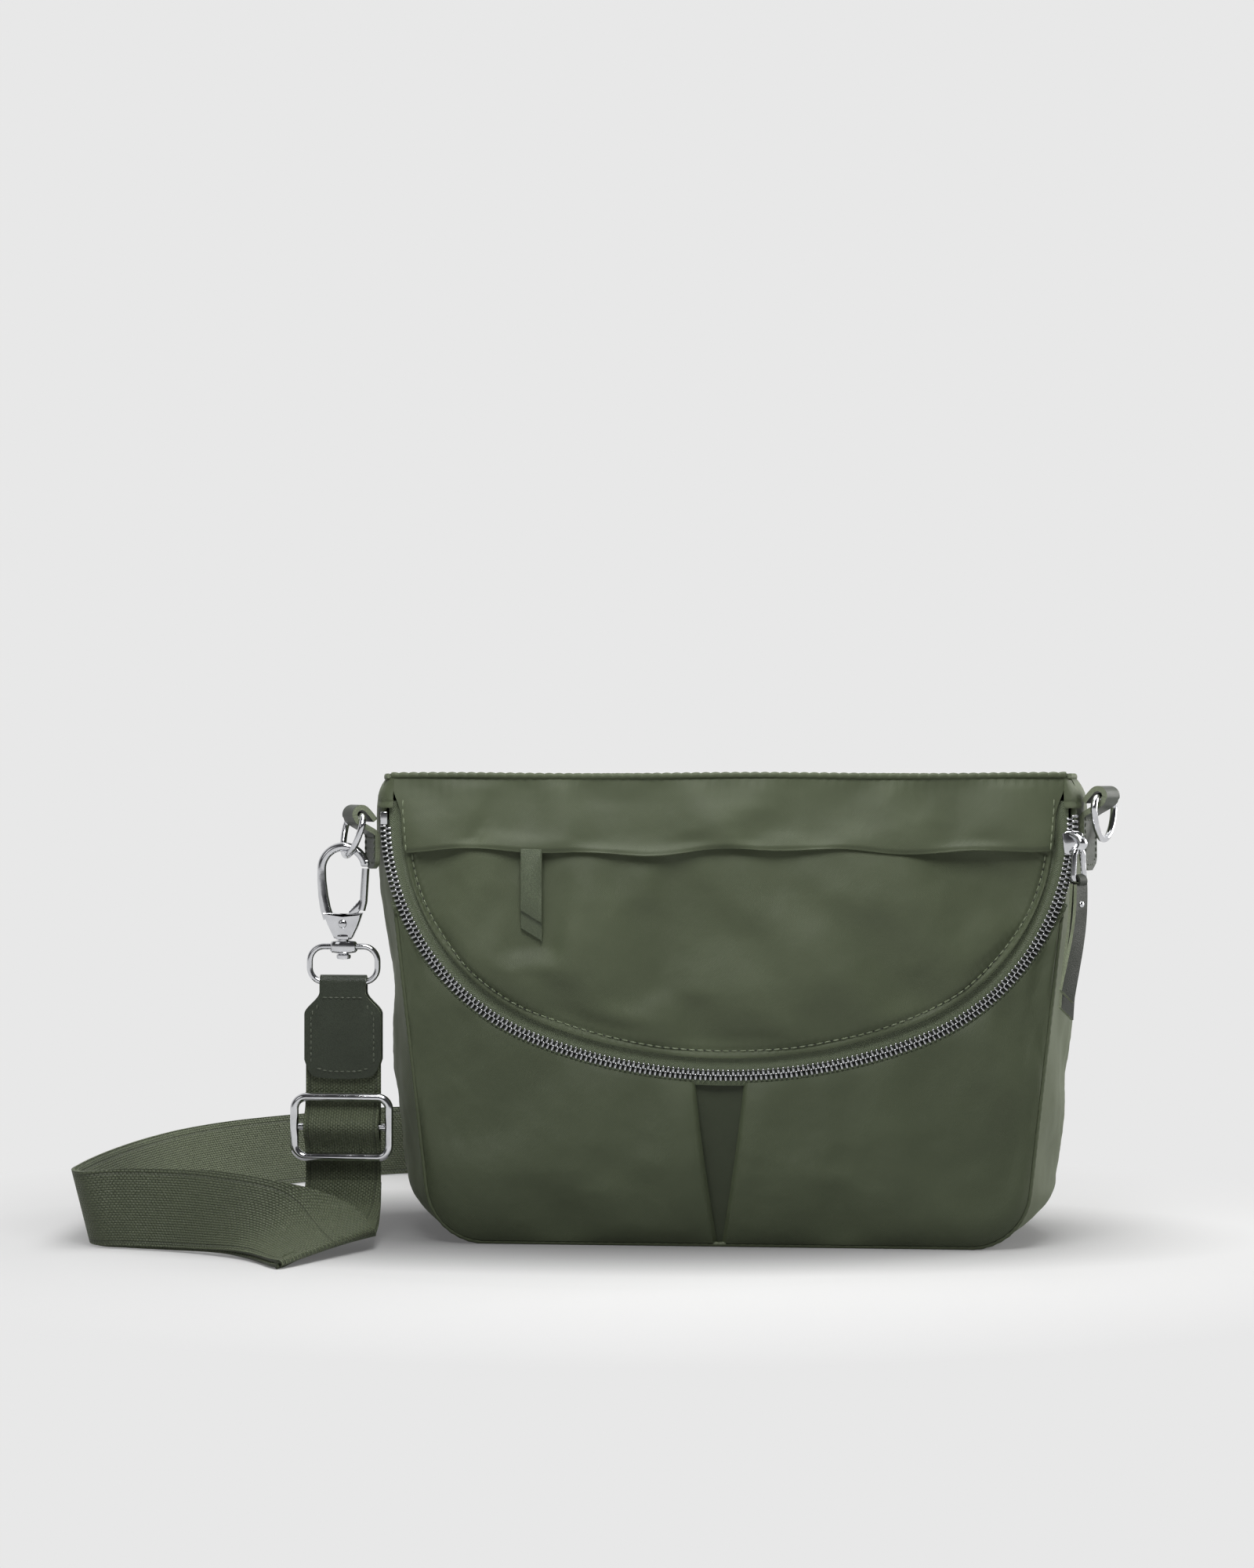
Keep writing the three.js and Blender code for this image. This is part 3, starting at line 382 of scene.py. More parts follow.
def grid_uv(p):
    """Distances along and across the grid, for weave that follows the cloth."""
    u, v = np.zeros((2, *p.shape[:2]))
    middle = p.shape[1] // 2
    u[1:] = np.cumsum(np.linalg.norm(np.diff(p[:, middle], axis=0), axis=1))[:, None]
    v[:, 1:] = np.cumsum(np.linalg.norm(np.diff(p, axis=1), axis=2), axis=1)
    flat = np.stack([u, v], axis=2).reshape(-1, 2)
    return np.vstack([flat, flat])


def cloth(name, p, thickness, material, nodes="", body="root", flip=False, edge=None):
    """A sheet of some thickness over a grid of points, with a painted edge if one is given."""
    points, faces, rim = shell(p, thickness, flip)
    return build(name, (points, faces), material, nodes, body, grid_uv(p), edge, rim if edge else ())


def wrinkle(p, size, seed, octaves=3):
    """Smooth noise at each point of a grid, about -1 to 1."""
    flat = p.reshape(-1, 3) / size + seed * 17.3
    values = [noise.fractal(Vector(q), 1.0, 2.0, octaves) for q in flat.tolist()]
    return np.array(values).reshape(p.shape[:2])


def smooth(t):
    """0 below 0, 1 above 1, and an easy curve between."""
    t = np.clip(t, 0, 1)
    return t * t * (3 - 2 * t)


def bell(x, middle, width, power=2):
    return np.exp(-((x - middle) / width) ** power)


def tucks(x):
    """1 at the gathers along the top edge, 0 between them."""
    return np.abs(np.cos(x * pi / TUCK_PITCH))


def spread(values, rows, columns, shape):
    """Values known at some rows and columns of a grid, carried smoothly to the whole grid."""
    tall = np.stack([np.interp(np.arange(shape[0]), rows, values[:, k]) for k in range(values.shape[1])], 1)
    wide = np.stack([np.interp(np.arange(shape[1]), columns, tall[k]) for k in range(shape[0])], 0)
    for axis, count in ((0, shape[0] / len(rows)), (1, shape[1] / len(columns))):
        for _ in range(int(count * 1.5)):
            low, high = np.roll(wide, 1, axis), np.roll(wide, -1, axis)
            blurred = (low + 2 * wide + high) / 4
            inner = [slice(None), slice(None)]
            inner[axis] = slice(1, -1)
            wide[tuple(inner)] = blurred[tuple(inner)]
    return wide


CLOTH_SETTINGS = {
    "quality": 7, "mass": 0.1, "tension_stiffness": 18, "compression_stiffness": 18, "shear_stiffness": 8,
    "tension_damping": 12, "compression_damping": 12, "air_damping": 3, "vertex_group_mass": "seams",
}
CLOTH_FRAMES = 26


def settle(p, step, growth, pressure, cap, bend):
    """Cloth simulation of a sewn panel: held at its seams, cut slightly full, filled and sagging."""
    rows, columns = (np.unique(np.linspace(0, size - 1, max(int(size / every), 4)).round().astype(int))
                     for size, every in zip(p.shape, step))
    coarse = p[np.ix_(rows, columns)]
    n, m = coarse.shape[:2]
    index = np.arange(n * m).reshape(n, m)
    faces = np.stack([index[:-1, :-1], index[1:, :-1], index[1:, 1:], index[:-1, 1:]], -1).reshape(-1, 4)
    mesh = bpy.data.meshes.new("settle")
    mesh.from_pydata((coarse.reshape(-1, 3) * MM).tolist(), [], faces.tolist())
    obj = bpy.data.objects.new("settle", mesh)
    scene = bpy.context.scene
    scene.collection.objects.link(obj)
    held = np.unique(np.concatenate([index[0], index[-1], index[:, 0], index[:, -1]]))
    obj.vertex_groups.new(name="seams").add(held.tolist(), 1.0, "REPLACE")
    modifier = obj.modifiers.new("settle", "CLOTH")
    own = {"bending_stiffness": bend, "shrink_min": -growth, "use_pressure": pressure != 0,
           "uniform_pressure_force": pressure}
    for key, value in {**CLOTH_SETTINGS, **own}.items():
        setattr(modifier.settings, key, value)
    modifier.point_cache.frame_start = 1
    modifier.point_cache.frame_end = CLOTH_FRAMES
    for frame_number in range(1, CLOTH_FRAMES + 1):
        scene.frame_set(frame_number)
    evaluated = obj.evaluated_get(bpy.context.evaluated_depsgraph_get())
    after = np.array([v.co[:] for v in evaluated.data.vertices]).reshape(n, m, 3) / MM
    scene.frame_set(1)
    bpy.data.objects.remove(obj, do_unlink=True)
    move = after - coarse
    size = np.linalg.norm(move, axis=2, keepdims=True)
    move = move * np.minimum(1, cap / np.maximum(size, 1e-9))
    return p + np.stack([spread(move[:, :, k], rows, columns, p.shape[:2]) for k in range(3)], 2)


def tube_mesh(points, radius, closed=False, sides=14, flat=1.0):
    """Points and faces of a round wire along points, with a steady cross-section."""
    p = np.asarray(points, float)
    count = len(p)
    radii = np.full(count, radius) if np.isscalar(radius) else np.asarray(radius, float)
    tangent = unit((np.roll(p, -1, 0) - np.roll(p, 1, 0)) if closed else np.gradient(p, axis=0))
    across = np.linalg.svd(p - p.mean(0))[2][2]
    side = unit(np.cross(tangent, across))
    up = np.cross(side, tangent)
    angle = 2 * pi * np.arange(sides) / sides
    ring = side[:, None] * np.cos(angle)[None, :, None] + up[:, None] * np.sin(angle)[None, :, None] * flat
    faces = []
    for i in range(count if closed else count - 1):
        a, b = i * sides, ((i + 1) % count) * sides
        for k in range(sides):
            n = (k + 1) % sides
            faces.append((a + k, b + k, b + n, a + n))
    if not closed:
        faces.append(tuple(range(sides)))
        faces.append(tuple(range((count - 1) * sides, count * sides))[::-1])
    return (p[:, None] + ring * radii[:, None, None]).reshape(-1, 3), faces


def rounded_box_mesh(low, high, radius, segments=3):
    made = bmesh.new()
    bmesh.ops.create_cube(made, size=1.0)
    low, high = np.array(low, float), np.array(high, float)
    for vert in made.verts:
        vert.co = Vector((low + high) / 2 + np.array(vert.co) * (high - low))
    bmesh.ops.bevel(made, geom=list(made.edges), offset=radius, segments=segments, profile=0.5,
                    affect="EDGES")
    points = [tuple(v.co) for v in made.verts]
    faces = [tuple(v.index for v in f.verts) for f in made.faces]
    made.free()
    return np.array(points), faces


def ring_faces(rings, count):
    """Two end caps, then the bands between rings that each have a number of points."""
    faces = [tuple(range(count)), tuple(range((rings - 1) * count, rings * count))[::-1]]
    for a in range(0, (rings - 1) * count, count):
        for i in range(count):
            j = (i + 1) % count
            faces.append((a + i, a + j, a + count + j, a + count + i))
    return faces


def slab_mesh(outline, low, high, bevel):
    """A flat shape with softened edges: an outline in x and z, thick in y from low to high."""
    shape = np.asarray(outline, float)
    before, after = np.roll(shape, 1, 0), np.roll(shape, -1, 0)
    direction = after - before
    normal = unit(np.stack([direction[:, 1], -direction[:, 0]], 1))
    area = np.sum(shape[:, 0] * after[:, 1] - after[:, 0] * shape[:, 1])
    normal *= 1 if area > 0 else -1
    layers = []
    for inset, level in ((bevel, low), (bevel * 0.3, low + bevel * 0.3), (0, low + bevel), (0, high - bevel),
                         (bevel * 0.3, high - bevel * 0.3), (bevel, high)):
        flat = shape - normal * inset
        layers.append(field(flat[:, 0], level, flat[:, 1]))
    return np.vstack(layers), ring_faces(len(layers), len(shape))


def lathe_mesh(profile, sides=28):
    """A turned shape about the local Z axis from (radius, z) pairs, closed at both ends."""
    angle = 2 * pi * np.arange(sides) / sides
    rings = [field(r * np.cos(angle), r * np.sin(angle), z) for r, z in profile]
    return np.vstack(rings), ring_faces(len(profile), sides)


def merged(*meshes):
    points, faces, start = [], [], 0
    for p, f in meshes:
        points.append(np.asarray(p, float))
        faces += [tuple(i + start for i in face) for face in f]
        start += len(p)
    return np.vstack(points), faces


def carried(p, matrix):
    """An array of points carried by a 4x4 matrix in mm."""
    m = np.array(matrix)
    return np.asarray(p) @ m[:3, :3].T + m[:3, 3]


def moved(mesh, matrix):
    return carried(mesh[0], matrix), mesh[1]


def rounded_loop(half_width, half_height, radius, middle=0.0, steps=10):
    points = []
    for sx, sy, quarter in ((1, 1, 0), (-1, 1, 1), (-1, -1, 2), (1, -1, 3)):
        for i in range(steps + 1):
            a = (quarter + i / steps) * pi / 2
            points.append((sx * (half_width - radius) + radius * cos(a), 0.0,
                           middle + sy * (half_height - radius) + radius * sin(a)))
    return np.array(points)


def stitches(name, places, directions, out, length, radius, material, body="root"):
    """Short raised threads lying on a surface that faces out, one at each place."""
    out = np.asarray(out, float)
    meshes = []
    profile = np.linspace(-1, 1, 6)
    radii = [radius * sqrt(max(1 - (0.94 * t) ** 4, 0.02)) for t in profile]
    for place, direction in zip(np.asarray(places, float), unit(np.asarray(directions, float))):
        line = [place + direction * length / 2 * t + out * radius * (0.75 - 1.1 * t ** 4) for t in profile]
        line = line + 1e-6 * np.arange(6)[:, None] * np.cross(out, direction)
        meshes.append(tube_mesh(line, radii, False, 7))
    build(name, merged(*meshes), material, "", body)


# ---------------- shared curves


def half_at(z, inset):
    """Half width of the bag's outline at height z."""
    z = np.asarray(z, float)
    r = CORNER_R - inset
    side = BASE_HALF + SLOPE * z - inset / cos(SLOPE_ANGLE)
    round_part = CORNER_X + np.sqrt(np.maximum(r * r - np.minimum(CORNER_R - z, r) ** 2, 0))
    return np.where(z > CORNER_R - r * sin(SLOPE_ANGLE), side, round_part)


def outline_path(inset, top):
    """Points down the left side, round the bottom and up the right side."""
    r = CORNER_R - inset
    side = BASE_HALF + SLOPE * top - inset / cos(SLOPE_ANGLE)
    left = [(-CORNER_X + r * cos(a), CORNER_R + r * sin(a))
            for a in np.linspace(pi + SLOPE_ANGLE, 1.5 * pi, 24)]
    half = [(-side, top)] + left
    return np.array(half + [(-x, z) for x, z in half[::-1]])


def along(path, t):
    """Points at shares t of a path's length."""
    step = np.concatenate([[0], np.cumsum(np.linalg.norm(np.diff(path, axis=0), axis=1))])
    return np.stack([np.interp(np.asarray(t) * step[-1], step, path[:, k]) for k in range(path.shape[1])], -1)


def track(length, offset):
    """The zip's line, set outwards by offset: x, z and the outward angle at a length from its left end."""
    length = np.asarray(length, float)
    mid = np.clip(length, 0, TRACK_LENGTH)
    left, low = mid < ARC_SIDE, mid < ARC_SIDE + ARC_LOW

    def pick(on_left, on_low, on_right):
        return np.where(left, on_left, np.where(low, on_low, on_right))

    angle = pick(pi + mid / TRACK_R, pi + TRACK_TURN + (mid - ARC_SIDE) / LOW_R,
                 2 * pi - TRACK_TURN + (mid - ARC_SIDE - ARC_LOW) / TRACK_R)
    radius = pick(TRACK_R, LOW_R, TRACK_R) + offset
    rise = np.maximum(-length, 0) + np.maximum(length - TRACK_LENGTH, 0)
    x = pick(-TRACK_X, 0, TRACK_X) + radius * np.cos(angle)
    return x, pick(TRACK_Z, LOW_Z, TRACK_Z) + radius * np.sin(angle) + rise, angle


def flap_y(x, z):
    """The filled-out face of the flap and the panel round it."""
    middle = np.clip(1 - (x / 150) ** 2, 0, 1)
    return FRONT_Y - 0.4 - 2.4 * middle * np.clip((z - 60) / 50, 0, 1) * np.clip((185 - z) / 40, 0.35, 1)


def back_y(z):
    return BACK_Y - BACK_LEAN * z / HEIGHT


# ---------------- bag body


def front_half(side):
    """One half of the front panel, from its arm's top to the edge of the pleat."""
    edge_r = TRACK_R + 3.2
    start = acos(sqrt(edge_r ** 2 - (TRACK_Z - ARM_TOP) ** 2) / edge_r) * TRACK_R
    stop = TRACK_LENGTH / 2 + (PLEAT_X * side - PLEAT_HALF)
    u, t = shares(150), shares(56)
    half = outline_path(1.6, ARM_TOP)
    half = half[: len(half) // 2]
    half = np.vstack([half, [(PLEAT_X * side, half[-1][1])]])
    x, z = ruled(track(np.linspace(start, stop, len(u)), 3.2)[:2], along(half, u ** 0.97).T, t)
    edge_x = PLEAT_X * side - 1.0 - (PLEAT_HALF - 1.0) * (1 - t ** 1.2)
    x = x + smooth((u - 0.55) / 0.45)[:, None] * (edge_x - x[-1])
    full = np.sin(pi * t)[None, :]
    gap = np.abs(x - edge_x[None, :])
    y = FRONT_Y - 3.0 * full ** 0.7 * smooth(u[:, None] * 2.2) - 1.6 * bell(gap, 5, 7) * full
    p = field(x * side, y + 2.4 * np.exp(-gap / 0.45), z)
    creases = 0.8 * wrinkle(p * (1, 1, 0.45), 26, 1 + side) + 0.3 * wrinkle(p, 9, 4 + side)
    p[:, :, 1] -= full ** 0.6 * creases
    return settle(p, (9, 5), 0.01, -side * 0.4, 2.0, 1.5)


def make_front():
    # The front halves use the darker copy of the nylon: painted shade on the front face
    cloth("front_left", front_half(1), 1.0, NYLON_FRONT_SHADED, "front_panel", flip=True)
    cloth("front_right", front_half(-1), 1.0, NYLON_FRONT_SHADED)
    b, a = grid((0, 1, 40), (-1, 1, 30))
    z = 1.2 + b * (TRACK_LOW - 0.2)
    p = field(PLEAT_X + a * 17, -41.3 + 0.8 * np.cos(a * 3.0), z)
    p[:, :, 1] += 0.2 * wrinkle(p, 12, 9)
    # The cloth under the pleat is darkened: painted shade in the pleat's recess
    cloth("pleat_underlay_cloth", p, 0.8, NYLON_PLEAT_SHADE, "pleat_underlay", flip=True)


def make_back():
    b, a = grid((0, 1, 110), (-1, 1, 130))
    z = 0.6 + b * (SHELL_TOP - 0.6)
    p = field(a * half_at(z, 0.6), back_y(z), z)
    puff = (1 - a ** 4) * np.sin(pi * b) ** 0.6
    p[:, :, 1] += puff * (3.0 + 1.1 * wrinkle(p * (1, 1, 0.5), 40, 12)) - 0.6
    p = settle(p, (5, 5), 0.012, 0.8, 3.0, 0.8)
    cloth("back_cloth", p, 1.0, NYLON, "back_panel")
    inner = p.copy()
    inner[:, :, 1] = back_y(z) - 2.2 + 0.3 * wrinkle(p, 25, 14)
    inner[:, :, 0] *= 0.975
    inner[:, :, 2] = inner[:, :, 2] * 0.975 + 3
    cloth("lining_back_cloth", inner, 0.5, LINING, "lining_back")
    b, a = grid((60, 150, 40), (-70, 70, 60))
    p = field(a, back_y(b) - 3.4, b)
    p[:, :, 1] -= 2.0 * smooth((b - 120) / 30) * (1 - (a / 70) ** 2) + 0.3 * wrinkle(p, 18, 15)
    cloth("slip_pocket_cloth", p, 0.6, LINING, "interior_slip_pocket")


def gusset(side, inset, top, puff):
    """A side panel's face, from its top down and under the corner, before any simulation."""
    arc = pi / 2 - SLOPE_ANGLE
    r = CORNER_R - inset
    straight = top - CORNER_R
    u, v = grid((0, 1, 120), (0, 1, 48))
    run = u * (straight + r * arc)
    on_arc = np.clip((run - straight) / (r * arc), 0, 0.9999)
    angle = -SLOPE_ANGLE - on_arc * arc
    low = CORNER_R - r * sin(SLOPE_ANGLE)
    z = np.where(on_arc > 0, CORNER_R + r * np.sin(angle), top - run * (top - low) / straight)
    x = np.where(on_arc > 0, CORNER_X + r * np.cos(angle), BASE_HALF + SLOPE * z - inset / cos(SLOPE_ANGLE))
    bow = BULGE * (1 - 1.3 * (z / HEIGHT - 0.33) ** 2) * 4 * v * (1 - v)
    bow = bow * np.where(on_arc > 0, np.cos(on_arc * pi / 2) ** 1.5, 1)
    front = -40.7 + inset
    y = front + v * (back_y(z) - 1.5 - inset - front)
    x = x - 4.6 * np.clip((z - 187) / 10, 0, 1) ** 2
    p = field(side * (x + bow), y, z)
    edge = np.sin(pi * v) ** 0.7 * (1 - on_arc)
    p[:, :, 0] += side * puff * edge * (1.2 * wrinkle(p * (1, 1, 0.35), 22, 20 + side)
                                        + 0.5 * wrinkle(p, 10, 23 + side) - 0.8)
    return p


def roll(name, line, radius, nodes="", sides=10):
    """A rolled seam or ridge of the same cloth along a line."""
    build(name, tube_mesh(line, radius, False, sides), NYLON, nodes)


def make_sides():
    for word, side in (("left", -1), ("right", 1)):
        outer = settle(gusset(side, 0.0, SHELL_TOP, 1.0), (9, 5), 0.012, side * 0.3, 2.5, 1.5)
        cloth(f"gusset_{word}_cloth", outer, 1.0, NYLON, f"gusset_{word}", flip=side < 0)
        inner = gusset(side, 2.0, SHELL_TOP - 2, 0.4) - (side * 2.4, 0, 0)
        cloth(f"lining_{word}_cloth", inner, 0.5, LINING, f"lining_gusset_{word}", flip=side > 0)
    a, b = grid((-1, 1, 80), (-1, 1, 40))
    x, y = a * CORNER_X, -0.7 + b * 40.8
    level = field(x, y, 0.0)
    p = field(x, y, 0.15 + 0.35 * (1 - b ** 2) * (0.5 + 0.5 * wrinkle(level, 30, 31)))
    cloth("bottom_cloth", p, 1.0, NYLON, "bottom_panel", flip=True)
    p = field(x * 0.97, y * 0.9, 4.0 + 0.4 * wrinkle(level, 22, 33))
    cloth("lining_bottom_cloth", p, 0.5, LINING, "lining_bottom")
    inner = track(np.linspace(38, TRACK_LENGTH - 38, 160), 4.0)[:2]
    x, z = ruled(inner, along(outline_path(4.0, ARM_TOP), shares(160)).T, shares(24))
    p = field(x, -39.9, z)
    p[:, :, 1] += 0.3 * wrinkle(p, 20, 35)
    cloth("lining_front_cloth", p, 0.5, LINING, "lining_front", flip=True)
    steps = 480
    waver = 1.15 + 0.12 * np.cos(np.arange(steps) * 2.0)
    x, z = along(outline_path(0.9, 187), shares(steps)).T
    roll("front_seam_roll", field(x, -42.6, z), waver, "front_piping")
    x, z = along(outline_path(0.6, 193), shares(steps)).T
    roll("back_seam_roll", field(x, back_y(z) - 0.7, z), waver)


def make_top():
    a, b = grid((-1, 1, 180), (0, 1, 60))
    x, y = a * (TOP_HALF + TOP_BOW * 4 * b * (1 - b)), -43.4 + b * (BACK_Y - BACK_LEAN + 43.4)
    p = field(x, y, HEIGHT - 0.6)
    sag = np.sin(pi * b) ** 0.8 * (1 - a ** 8)
    p[:, :, 2] -= sag * (2.6 + 1.2 * wrinkle(p * (0.6, 1, 1), 26, 41) + 0.5 * wrinkle(p, 9, 42))
    p[:, :, 2] -= 0.5 * (1 - tucks(x)) * np.exp(-b * 24)
    cloth("top_cloth", settle(p, (6, 4), 0.02, 0, 3.0, 0.8), 0.9, NYLON, "top_panel")
    x = np.linspace(-140.4, 140.4, 900)
    tuck = tucks(x)
    line = field(x, -44.2 + 0.25 * np.sin(x / 13), HEIGHT - 1.7 + 0.3 * tuck + 0.25 * np.sin(x / 21 + 1))
    roll("top_front_ridge", line, 1.1 + 0.2 * tuck, sides=12)
    line = field(x, BACK_Y - BACK_LEAN - 0.2, HEIGHT - 1.6 + 0.3 * tuck)
    roll("top_back_ridge", line, 1.0 + 0.2 * tuck)
    for word, side in (("left", -1), ("right", 1)):
        y = np.linspace(-43.8, BACK_Y - BACK_LEAN, 120)
        bow = TOP_BOW * 4 * ((y + 43.8) / 79) * (1 - (y + 43.8) / 79)
        line = field(side * (TOP_HALF - 0.2 + bow), y, HEIGHT - 2.0 - 0.4 * np.cos(y * 1.5))
        roll(f"top_side_ridge_{word}", line, 1.1)
        corner_cap(word, side)


def corner_cap(word, side):
    """The folded cap over the zip's end, wrapping from the front to the side."""
    b, a = grid((0, 1, 44), (0, 1, 30))
    z = 183.0 + b * 14.6
    turn = a * pi / 2
    drawn_in = 6.0 * smooth((z - 187) / 12) ** 1.2 * a
    x = side * (139.6 + 8.2 * np.sin(turn) - drawn_in)
    y = -46.6 + 12.0 * (1 - np.cos(turn)) + 2.2 * b + 3.0 * a * smooth((z - 190) / 8)
    hem = bell(z, 183.6, 0.9) - 0.6 * bell(z, 185.6, 0.6)
    p = field(x + side * 0.3 * hem * a, y - 0.45 * hem * (1 - a), z - 5.0 * a ** 2 * b ** 3)
    p[:, :, 1] += 0.3 * wrinkle(p, 7, 45 + side)
    cloth(f"corner_cap_{word}_cloth", p, 1.0, NYLON, f"corner_cap_{word}", flip=side > 0)


# ---------------- flap and zips


def lip_bottom(x):
    """The lower edge of the pocket lip, a soft uneven line."""
    return LIP_Z + 0.9 * np.sin(x / 19 + 0.6) + 0.7 * np.sin(x / 8.3 + 2.0) + 0.5 * np.sin(x / 41)


def stitch_place(p, inward, length, margin=3.0):
    """The point on the flap's grid a given margin inside its edge, at a length along the zip."""
    where = length / TRACK_LENGTH * (p.shape[0] - 1)
    low = int(where)
    found = []
    for i in (low, min(low + 1, p.shape[0] - 1)):
        if inward[i].max() < margin:
            return None
        j = np.interp(margin, inward[i, ::-1], np.arange(p.shape[1])[::-1])
        k = min(int(j), p.shape[1] - 2)
        found.append(p[i, k] + (j - k) * (p[i, k + 1] - p[i, k]))
    return found[0] + (where - low) * (found[1] - found[0])


def make_flap():
    """The main cloth of the flap, up to under the pocket lip."""
    top = 169.0
    share, v = shares(360), shares(84) ** 0.8
    lengths = share * TRACK_LENGTH
    bx, bz, _ = track(lengths, -7.2)
    tx = -134.5 + 269 * share
    x, z = ruled((tx, top), (bx, np.minimum(bz, top - 0.4)), v)
    p = field(x, flap_y(x, z), z)
    inward = (1 - v)[None, :] * np.hypot(bx - tx, bz - top)[:, None]
    pucker = bell(inward, 3.0, 4.5) * np.sin(lengths * 2 * pi / 3.9)[:, None]
    p[:, :, 1] += 0.7 * bell(inward, 3.0, 1.3) + 0.2 * pucker - 0.5 * bell(inward, 1.1, 1.1)
    diagonal = field(p[:, :, 0] + 0.7 * p[:, :, 2], p[:, :, 1], 0.45 * p[:, :, 2])
    p[:, :, 1] -= smooth(inward / 16) * (3.5 * wrinkle(diagonal, 46, 50, 2) + 0.3 * wrinkle(p, 13, 51, 2))
    p = settle(p, (13, 7), 0.014, -0.9, 5.0, 1.5)
    under_pull = bell(p[:, :, 0], POCKET_PULL_X, 13, 4) * smooth((p[:, :, 2] - 114) / 12)
    p[:, :, 1] += under_pull * np.maximum(-46.3 - p[:, :, 1], 0)
    cloth("flap_cloth", p, 0.9, NYLON, "flap_panel", "flap", flip=True)
    places = [stitch_place(p, inward, length) for length in np.arange(4, TRACK_LENGTH - 4, STITCH_PITCH)]
    places = np.array([q for q in places if q is not None and q[2] < LIP_Z - 1])
    directions = np.gradient(places, axis=0)
    stitches("flap_topstitch", places, directions, FORWARD, 2.7, 0.33, THREAD, "flap")
    # Dark marks between the stitches: painted shade in the needle holes
    holes = (places + directions / 2)[:-1]
    stitches("flap_needle_hole_shade", holes, directions[:-1], FORWARD, 0.9, 0.26, NEEDLE_HOLE_SHADE, "flap")


def make_flap_upper():
    """The band above the flap and its overhanging lip, as one cloth."""
    b, a = grid((0, 1, 60), (-1, 1, 260))
    x = a * (140.6 - 4.6 * smooth(b * 1.8) - 1.0 * smooth((b - 0.5) * 2))
    high = HEIGHT - 2.6
    z = high + (lip_bottom(x) - high) * b
    y = -44.4 - 5.2 * b + 0.9 * smooth((b - 0.93) / 0.07) - 1.0 * np.sin(pi * b)
    y = y + 2.6 * np.clip((np.abs(a) - 0.93) / 0.07, 0, 1) ** 2 * b
    p = field(x, y, z)
    p[:, :, 1] += 0.5 * ((1 - tucks(x)) * np.exp(-b * 9))
    creases = 1.5 * wrinkle(p * (1, 1, 0.7), 34, 52, 2) + 0.15 * wrinkle(p, 9, 53, 2)
    p[:, :, 1] -= np.sin(pi * b) ** 0.6 * creases
    rise = z - LIP_Z
    crease = bell(x + 108 - 0.5 * rise, 0, 4.5) + 0.7 * bell(x - 12 + 0.6 * rise, 0, 6)
    p[:, :, 1] += 1.3 * crease * b * smooth((1 - b) * 6)
    p = settle(p, (7, 12), 0.01, 0.6, 3.0, 1.5)
    lip = cloth("flap_upper_cloth", p, 1.1, NYLON, "flap_top_band flap_pocket_lip", None)
    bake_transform(lip)
    for word, side in (("left", -1), ("right", 1)):
        places = []
        for level in np.arange(LIP_Z + 1.5, 188, STITCH_PITCH):
            i = int(np.argmin(np.abs(p[:, 0, 2] - level)))
            j = int(np.argmin(np.abs(p[i, :, 0] - side * (134.4 + 0.05 * (level - LIP_Z)))))
            places.append(p[i, j])
        directions = np.gradient(places, axis=0)
        stitches(f"band_topstitch_{word}", places, directions, FORWARD, 2.7, 0.33, THREAD, "flap")


def make_flap_lining():
    share = shares(160)
    x, z = ruled((-136 + 272 * share, 181.0), track(share * TRACK_LENGTH, -4.4)[:2], shares(30))
    p = field(x, -41.2, z)
    p[:, :, 1] += 0.3 * wrinkle(p, 22, 55)
    cloth("flap_lining_cloth", p, 0.5, LINING, "flap_lining", "flap")


def tape(name, inner, outer, body, material, nodes="", low=0.0, high=TRACK_LENGTH):
    """A strip of woven tape beside the zip's line, between two offsets from it."""
    offsets = np.linspace(inner, outer, 8)
    x, z, _ = track(np.linspace(low, high, 300)[:, None], offsets[None, :])
    y = np.full_like(x, -43.4 if inner < 0 else -42.8) + 0.25 * np.cos(offsets * 1.2)[None, :]
    cloth(name, field(x, y, z), 0.6, material, nodes, body)


def teeth(name, row, body, nodes):
    """One row of zip teeth along the zip's line; the row outside it, 1, has a waist and starts first."""
    pitch = 2.1
    points, faces = rounded_box_mesh((-1.2, -1.1, -0.56), (1.45, 1.25, 0.56), 0.4, 2)
    if row > 0:
        points[:, 2] *= 1 - 0.28 * bell(points[:, 0], -0.1, 0.6)
    meshes = []
    for length in np.arange(2.6 + (0.0 if row > 0 else pitch / 2), TRACK_LENGTH + 2.0, pitch):
        x, z, angle = track(length, row * 1.2)
        x_axis = -row * np.array([cos(angle), 0, sin(angle)])
        m = np.eye(4)
        m[:3, :3] = np.stack([x_axis, FORWARD, np.cross(x_axis, FORWARD)], 1)
        m[:3, 3] = (float(x), -43.6, float(z))
        meshes.append(moved((points, faces), m))
    build(name, merged(*meshes), TEETH, nodes, body)


